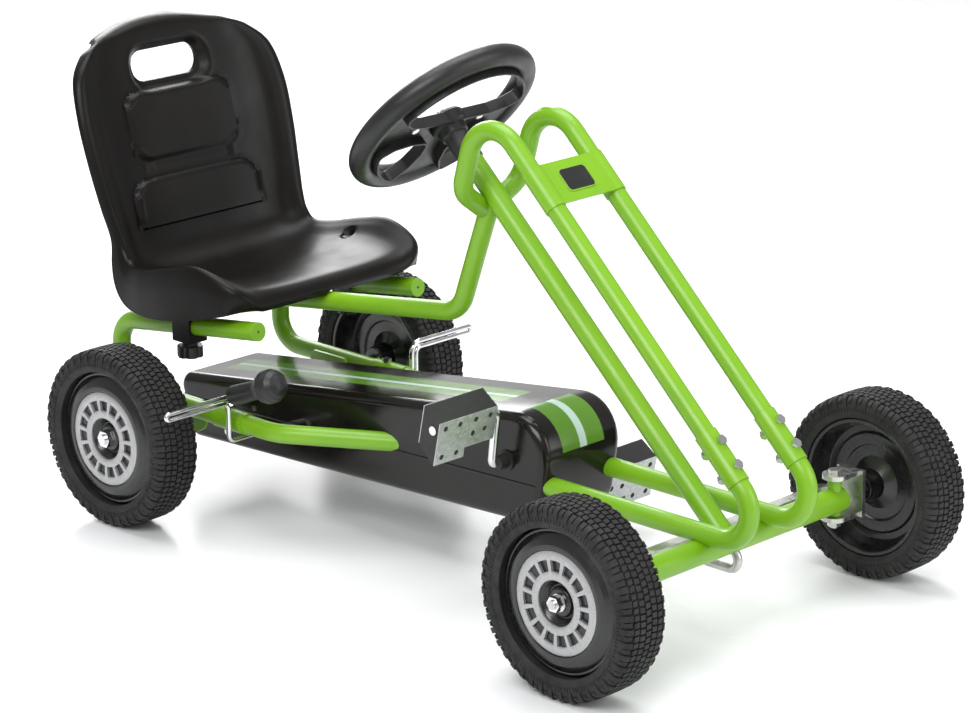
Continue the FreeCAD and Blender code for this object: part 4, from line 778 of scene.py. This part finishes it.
def cutHole(piece, cutter):
    modifier = piece.modifiers.new("cut", "BOOLEAN")
    modifier.operation = "DIFFERENCE"
    modifier.solver = "EXACT"
    modifier.object = cutter
    freeze(piece, 50)
    bpy.data.objects.remove(cutter)


makeSeat()
print("seat made")


# steering wheel

helmSpec = {
    "radius": 0.106, "grip": 0.0131, "inner": 0.0935, "plate": 0.0992, "face": -0.0042, "back": -0.0082,
    "flange": -0.0188,
    "flangeThick": 0.0028, "corner": 0.0105, "segments": 96, "bevel": 0.0008,
    # corners of the windows, up and to the left of the wheel's middle
    "topWindow": [(0.0175, -0.050), (0.0175, 0.050), (0.0225, 0.074), (0.0330, 0.0875)],
    "lowWindow": [(-0.0850, 0.0390), (-0.0640, 0.0255), (-0.0420, 0.0205), (-0.0215, 0.0235),
                  (-0.0170, 0.0500), (-0.0195, 0.0740), (-0.0300, 0.0886)],
}


def rimArc(start, end, count):
    # points along the rim's inner edge between two corners
    first, last = (math.atan2(point[1], point[0]) for point in (start, end))
    if last > first:
        last -= 2 * math.pi
    angles = np.linspace(first, last, count)
    return [(helmSpec["inner"] * math.cos(angle), helmSpec["inner"] * math.sin(angle)) for angle in angles]


def helmWindows():
    spec = helmSpec
    top = spec["topWindow"] + rimArc(spec["topWindow"][-1], (0.0330, -0.0875), 18)[1:] + [(0.0225, -0.074)]
    low = spec["lowWindow"] + rimArc(spec["lowWindow"][0], spec["lowWindow"][-1], 9)[-2:0:-1]
    return [roundCorners(outline, spec["corner"], 4) for outline in (top, low, [(x, -y) for x, y in low])]


def makeHelm():
    spec = helmSpec
    up, across = Vector((0.684427, 0, 0.729082)), Vector((0, 1, 0))
    face = Vector(joints["steering_turn"]["axis"])
    centre = Vector(joints["steering_turn"]["pos_m"])
    turn = Matrix((up, across, face)).transposed().to_4x4()
    turn.translation = centre
    shell = bmesh.new()
    segments, bevel = spec["segments"], spec["bevel"]
    turns = [2 * math.pi * step / segments for step in range(segments)]
    circle = [(spec["plate"] * math.cos(angle), spec["plate"] * math.sin(angle)) for angle in turns]
    windows = helmWindows()
    for level, grow in ((spec["face"], bevel), (spec["back"], spec["flangeThick"])):
        edges = []
        for loop in [circle] + [offsetLoop(window, grow) for window in windows]:
            corners = [shell.verts.new((x, y, level)) for x, y in loop]
            edges += [shell.edges.new((corners[index], corners[(index + 1) % len(corners)]))
                for index in range(len(corners))]
        bmesh.ops.triangle_fill(shell, edges=edges, use_beauty=True, use_dissolve=False)
    rim = [shell.verts.new((x, y, level)) for level in (spec["face"], spec["back"]) for x, y in circle]
    for index in range(segments):
        other = (index + 1) % segments
        shell.faces.new((rim[index], rim[other], rim[segments + other], rim[segments + index]))
    for window in windows:
        levels = [(bevel, spec["face"]), (0, spec["face"] - bevel), (0, spec["flange"] + 0.0006),
                  (0.0006, spec["flange"]), (spec["flangeThick"] - 0.0005, spec["flange"]),
                  (spec["flangeThick"], spec["flange"] + 0.0006), (spec["flangeThick"], spec["back"])]
        loops = [[(x, y, level) for x, y in offsetLoop(window, grow)] for grow, level in levels]
        points, faces = skin(loops)
        corners = [shell.verts.new(point) for point in points]
        for face_ in faces:
            shell.faces.new([corners[index] for index in face_])
    plate = bpy.data.meshes.new("helmPlate")
    shell.to_mesh(plate)
    shell.free()
    parts = [([tuple(vertex.co) for vertex in plate.vertices],
        [tuple(face_.vertices) for face_ in plate.polygons])]
    hub = [(0.0056, -0.0280), (0.0150, -0.0280), (0.0165, -0.0265), (0.0175, -0.0180),
           (0.0215, -0.0150), (0.0225, -0.0050), (0.0200, -0.0015), (0.0120, 0.0006), (0.0056, 0.0010)]
    grip = [(spec["radius"] + spec["grip"] * math.cos(a), spec["grip"] * math.sin(a))
        for a in np.linspace(0, 2 * math.pi, 33)[:-1]]
    for outline, sides in ((hub, 48), (grip, 144)):
        loops = [[(radius * math.cos(turned), radius * math.sin(turned), high) for radius, high in outline]
                 for turned in np.linspace(0, 2 * math.pi, sides + 1)[:-1]]
        parts.append(skin(loops, closed=True))
    points, faces = [], []
    for morePoints, moreFaces in parts:
        base = len(points)
        points += [tuple(turn @ Vector(point)) for point in morePoints]
        faces += [tuple(index + base for index in face_) for face_ in moreFaces]
    bpy.data.meshes.remove(plate)
    helm = newPiece("helm", points, faces, finish["grip"], 35)
    settle(helm, "steering", "grip_plastic", "steering_wheel")


makeHelm()
print("steering wheel made")


# chain case

caseSpec = {
    "half": 0.062, "edge": 0.0115, "bends": [0.014, 0.016, 0.050, 0.028],
    # side corners: behind the rear axle or ahead of the crank, and above the axle
    "rear": [(-0.058, -0.052), (-0.079, 0.0245)], "front": [(0.0665, 0.1025), (0.0465, -0.029)],
    "lipHigh": 0.0030, "lipProud": 0.0010, "lipCorner": 0.013, "lipRear": -0.0735, "lipFront": 0.0505,
    "lipSlope": 0.0337,
}


def caseOutline(inset):
    # side outline of the case, moved in by inset
    axle, crank = joints["rear_axle_spin"]["pos_m"], joints["crank_spin"]["pos_m"]
    corners = [(axle[0] + ahead, axle[2] + up) for ahead, up in caseSpec["rear"]]
    corners += [(crank[0] + ahead, axle[2] + up) for ahead, up in caseSpec["front"]]
    ways = zip(corners, (1, 1, -1, -1), (1, -1, -1, 1))
    corners = [(x + across * inset, z + rise * inset) for (x, z), across, rise in ways]
    return roundCorners(corners, [max(bend - inset, 0.0012) for bend in caseSpec["bends"]], 10)


def makeCase():
    spec = caseSpec
    rings = []
    for side in (-1, 1):
        turns = np.linspace(0, math.pi / 2, 8)
        ring = [(spec["edge"] * (1 - math.cos(turn)), spec["half"] - spec["edge"] * (1 - math.sin(turn)))
            for turn in turns]
        if side < 0:
            ring = ring[::-1]
        rings += [[(x, side * y, z) for x, z in caseOutline(inset)] for inset, y in ring]
    points, faces = skin(rings)
    count = len(rings[0])
    faces.append(tuple(range(count)))
    faces.append(tuple(reversed(range(len(points) - count, len(points)))))
    case = newPiece("caseShell", points, faces, finish["case"], 30)
    settle(case, "chassis", "case_plastic", "chain_case_cover", "chain_case_tray")


def makeCaseLip():
    # raised line where the case's two halves meet
    spec = caseSpec
    axle, crank = joints["rear_axle_spin"]["pos_m"], joints["crank_spin"]["pos_m"]
    rear, front, reach = axle[0] + spec["lipRear"], crank[0] + spec["lipFront"], spec["half"]
    loops = []
    for proud, rise in ((-0.002, -0.5), (0.7, -0.5), (1.0, -0.25), (1.0, 0.25), (0.7, 0.5), (-0.002, 0.5)):
        out = spec["lipProud"] * proud if proud > 0 else proud
        corners = [(rear - out, -reach - out), (front + out, -reach - out), (front + out, reach + out),
                   (rear - out, reach + out)]
        plan = roundCorners(corners, spec["lipCorner"], 8)
        base = axle[2] + 0.0005 + rise * spec["lipHigh"]
        loops.append([(x, y, base + spec["lipSlope"] * (x - axle[0])) for x, y in plan])
    points, faces = skin(loops, closed=True)
    lip = newPiece("caseLip", points, faces, finish["case"], 30)
    settle(lip, "chassis", "case_plastic")


makeCase()
makeCaseLip()
print("case made")


# front plaque

plaqueSpec = {"half": (0.0215, 0.0150), "corner": 0.0055, "thick": 0.0009, "border": 0.0016,
    "aside": -0.004}


def makePlaque():
    # a plain black plaque with a thin green border, on the middle of the front panel
    spec = plaqueSpec
    low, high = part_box("front_panel")
    down = Vector((0.7222, 0, -0.6916))
    out = Vector((0.6916, 0, 0.7222))
    panel = nodes["front_panel"].data
    middle = Vector(((low[0] + high[0]) / 2, 0, (low[2] + high[2]) / 2))
    face = max((vertex.co for vertex in panel.vertices if abs(vertex.co.y) < 0.041),
        key=lambda point: point.dot(out)).dot(out)
    middle += out * (face - middle.dot(out))
    layers = [("plaqueBorder", 0.0, 0.0, "green", "green_paint"),
              ("plaqueFace", spec["border"], 0.0004, "grip", "grip_plastic")]
    for name, shrink, lift, material, slotName in layers:
        wide, tall = spec["half"][0] - shrink, spec["half"][1] - shrink
        shift = Vector((0, spec["aside"], 0))
        outline = roundCorners([(-wide, -tall), (wide, -tall), (wide, tall), (-wide, tall)],
            spec["corner"] - shrink / 2, 6)
        levels = [(0, -0.0004), (0, lift + 0.7 * spec["thick"]), (-0.0003, lift + spec["thick"])]
        loops = []
        for grow, level in levels:
            base = middle + shift + out * level
            loops.append([tuple(base + Vector((0, x, 0)) - down * y) for x, y in offsetLoop(outline, grow)])
        points, faces = skin(loops)
        count = len(loops[0])
        faces.append(tuple(range(count)))
        faces.append(tuple(reversed(range(len(points) - count, len(points)))))
        settle(newPiece(name, points, faces, finish[material], 30), "chassis", slotName)


makePlaque()
print("plaque made")


# studio

studio = {"floor": (0.88, 0.89, 0.90), "world": 0.42, "key": 85.0, "fill": 40.0, "top": 75.0, "rim": 60.0,
    "veil": 12.0}


def makeFloor():
    material, tree, shader = startMaterial("paleFloor", studio["floor"], 0.28)
    shader.inputs["Specular IOR Level"].default_value = 0.35
    setInput(tree, shader, "Roughness", remap(tree, noise(tree, 1.5, 3.0), 0.3, 0.7, 0.24, 0.34))
    floor = newPiece("floor", [(-8, -8, 0), (8, -8, 0), (8, 8, 0), (-8, 8, 0)], [(0, 1, 2, 3)], material)


def addLight(name, power, size, position, target=(0, 0, 0.2)):
    light = bpy.data.lights.new(name, "AREA")
    light.shape = "RECTANGLE"
    light.size, light.size_y = size
    light.energy = power
    lamp = bpy.data.objects.new(name, light)
    lamp.location = position
    lamp.rotation_mode = "QUATERNION"
    lamp.rotation_quaternion = (Vector(target) - Vector(position)).to_track_quat("-Z", "Y")
    bpy.context.scene.collection.objects.link(lamp)


def makeStudio():
    makeFloor()
    world = bpy.data.worlds.new("studioAir")
    world.use_nodes = True
    world.node_tree.nodes["Background"].inputs[0].default_value = (1.0, 1.0, 1.0, 1)
    world.node_tree.nodes["Background"].inputs[1].default_value = studio["world"]
    bpy.context.scene.world = world
    addLight("keyLight", studio["key"], (2.4, 1.6), (1.2, -2.6, 2.6))
    addLight("fillLight", studio["fill"], (2.0, 2.0), (3.0, 1.2, 1.4))
    addLight("topLight", studio["top"], (2.6, 2.0), (-0.4, 0.2, 3.0))
    addLight("rimLight", studio["rim"], (1.6, 1.6), (-2.6, 1.6, 1.8))
    addLight("veilLight", studio["veil"], (4.0, 1.5), (-3.0, 3.0, 1.0))


cameraSpec = {"azimuth": 44.52, "elevation": 16.93, "roll": -0.00754, "lens": 130.24, "sensor": 36,
              "place": (2.6336, -2.6697, 1.3693)}


def makeCamera():
    # the view is turned a little about its own axis
    azimuth, elevation = math.radians(cameraSpec["azimuth"]), math.radians(cameraSpec["elevation"])
    roll = cameraSpec["roll"]
    back = Vector((math.sin(azimuth) * math.cos(elevation), -math.cos(azimuth) * math.cos(elevation),
        math.sin(elevation)))
    right = Vector((math.cos(azimuth), math.sin(azimuth), 0))
    up = back.cross(right)
    rolledRight = math.cos(roll) * right + math.sin(roll) * up
    rolledUp = back.cross(rolledRight)
    lens = bpy.data.cameras.new("studioCamera")
    lens.lens = cameraSpec["lens"]
    lens.sensor_width = cameraSpec["sensor"]
    camera = bpy.data.objects.new("studioCamera", lens)
    turn = Matrix((rolledRight, rolledUp, back)).transposed()
    camera.matrix_world = Matrix.Translation(cameraSpec["place"]) @ turn.to_4x4()
    bpy.context.scene.collection.objects.link(camera)
    bpy.context.scene.camera = camera


makeStudio()
makeCamera()
bpy.context.scene.view_settings.view_transform = "Standard"
print("studio made")
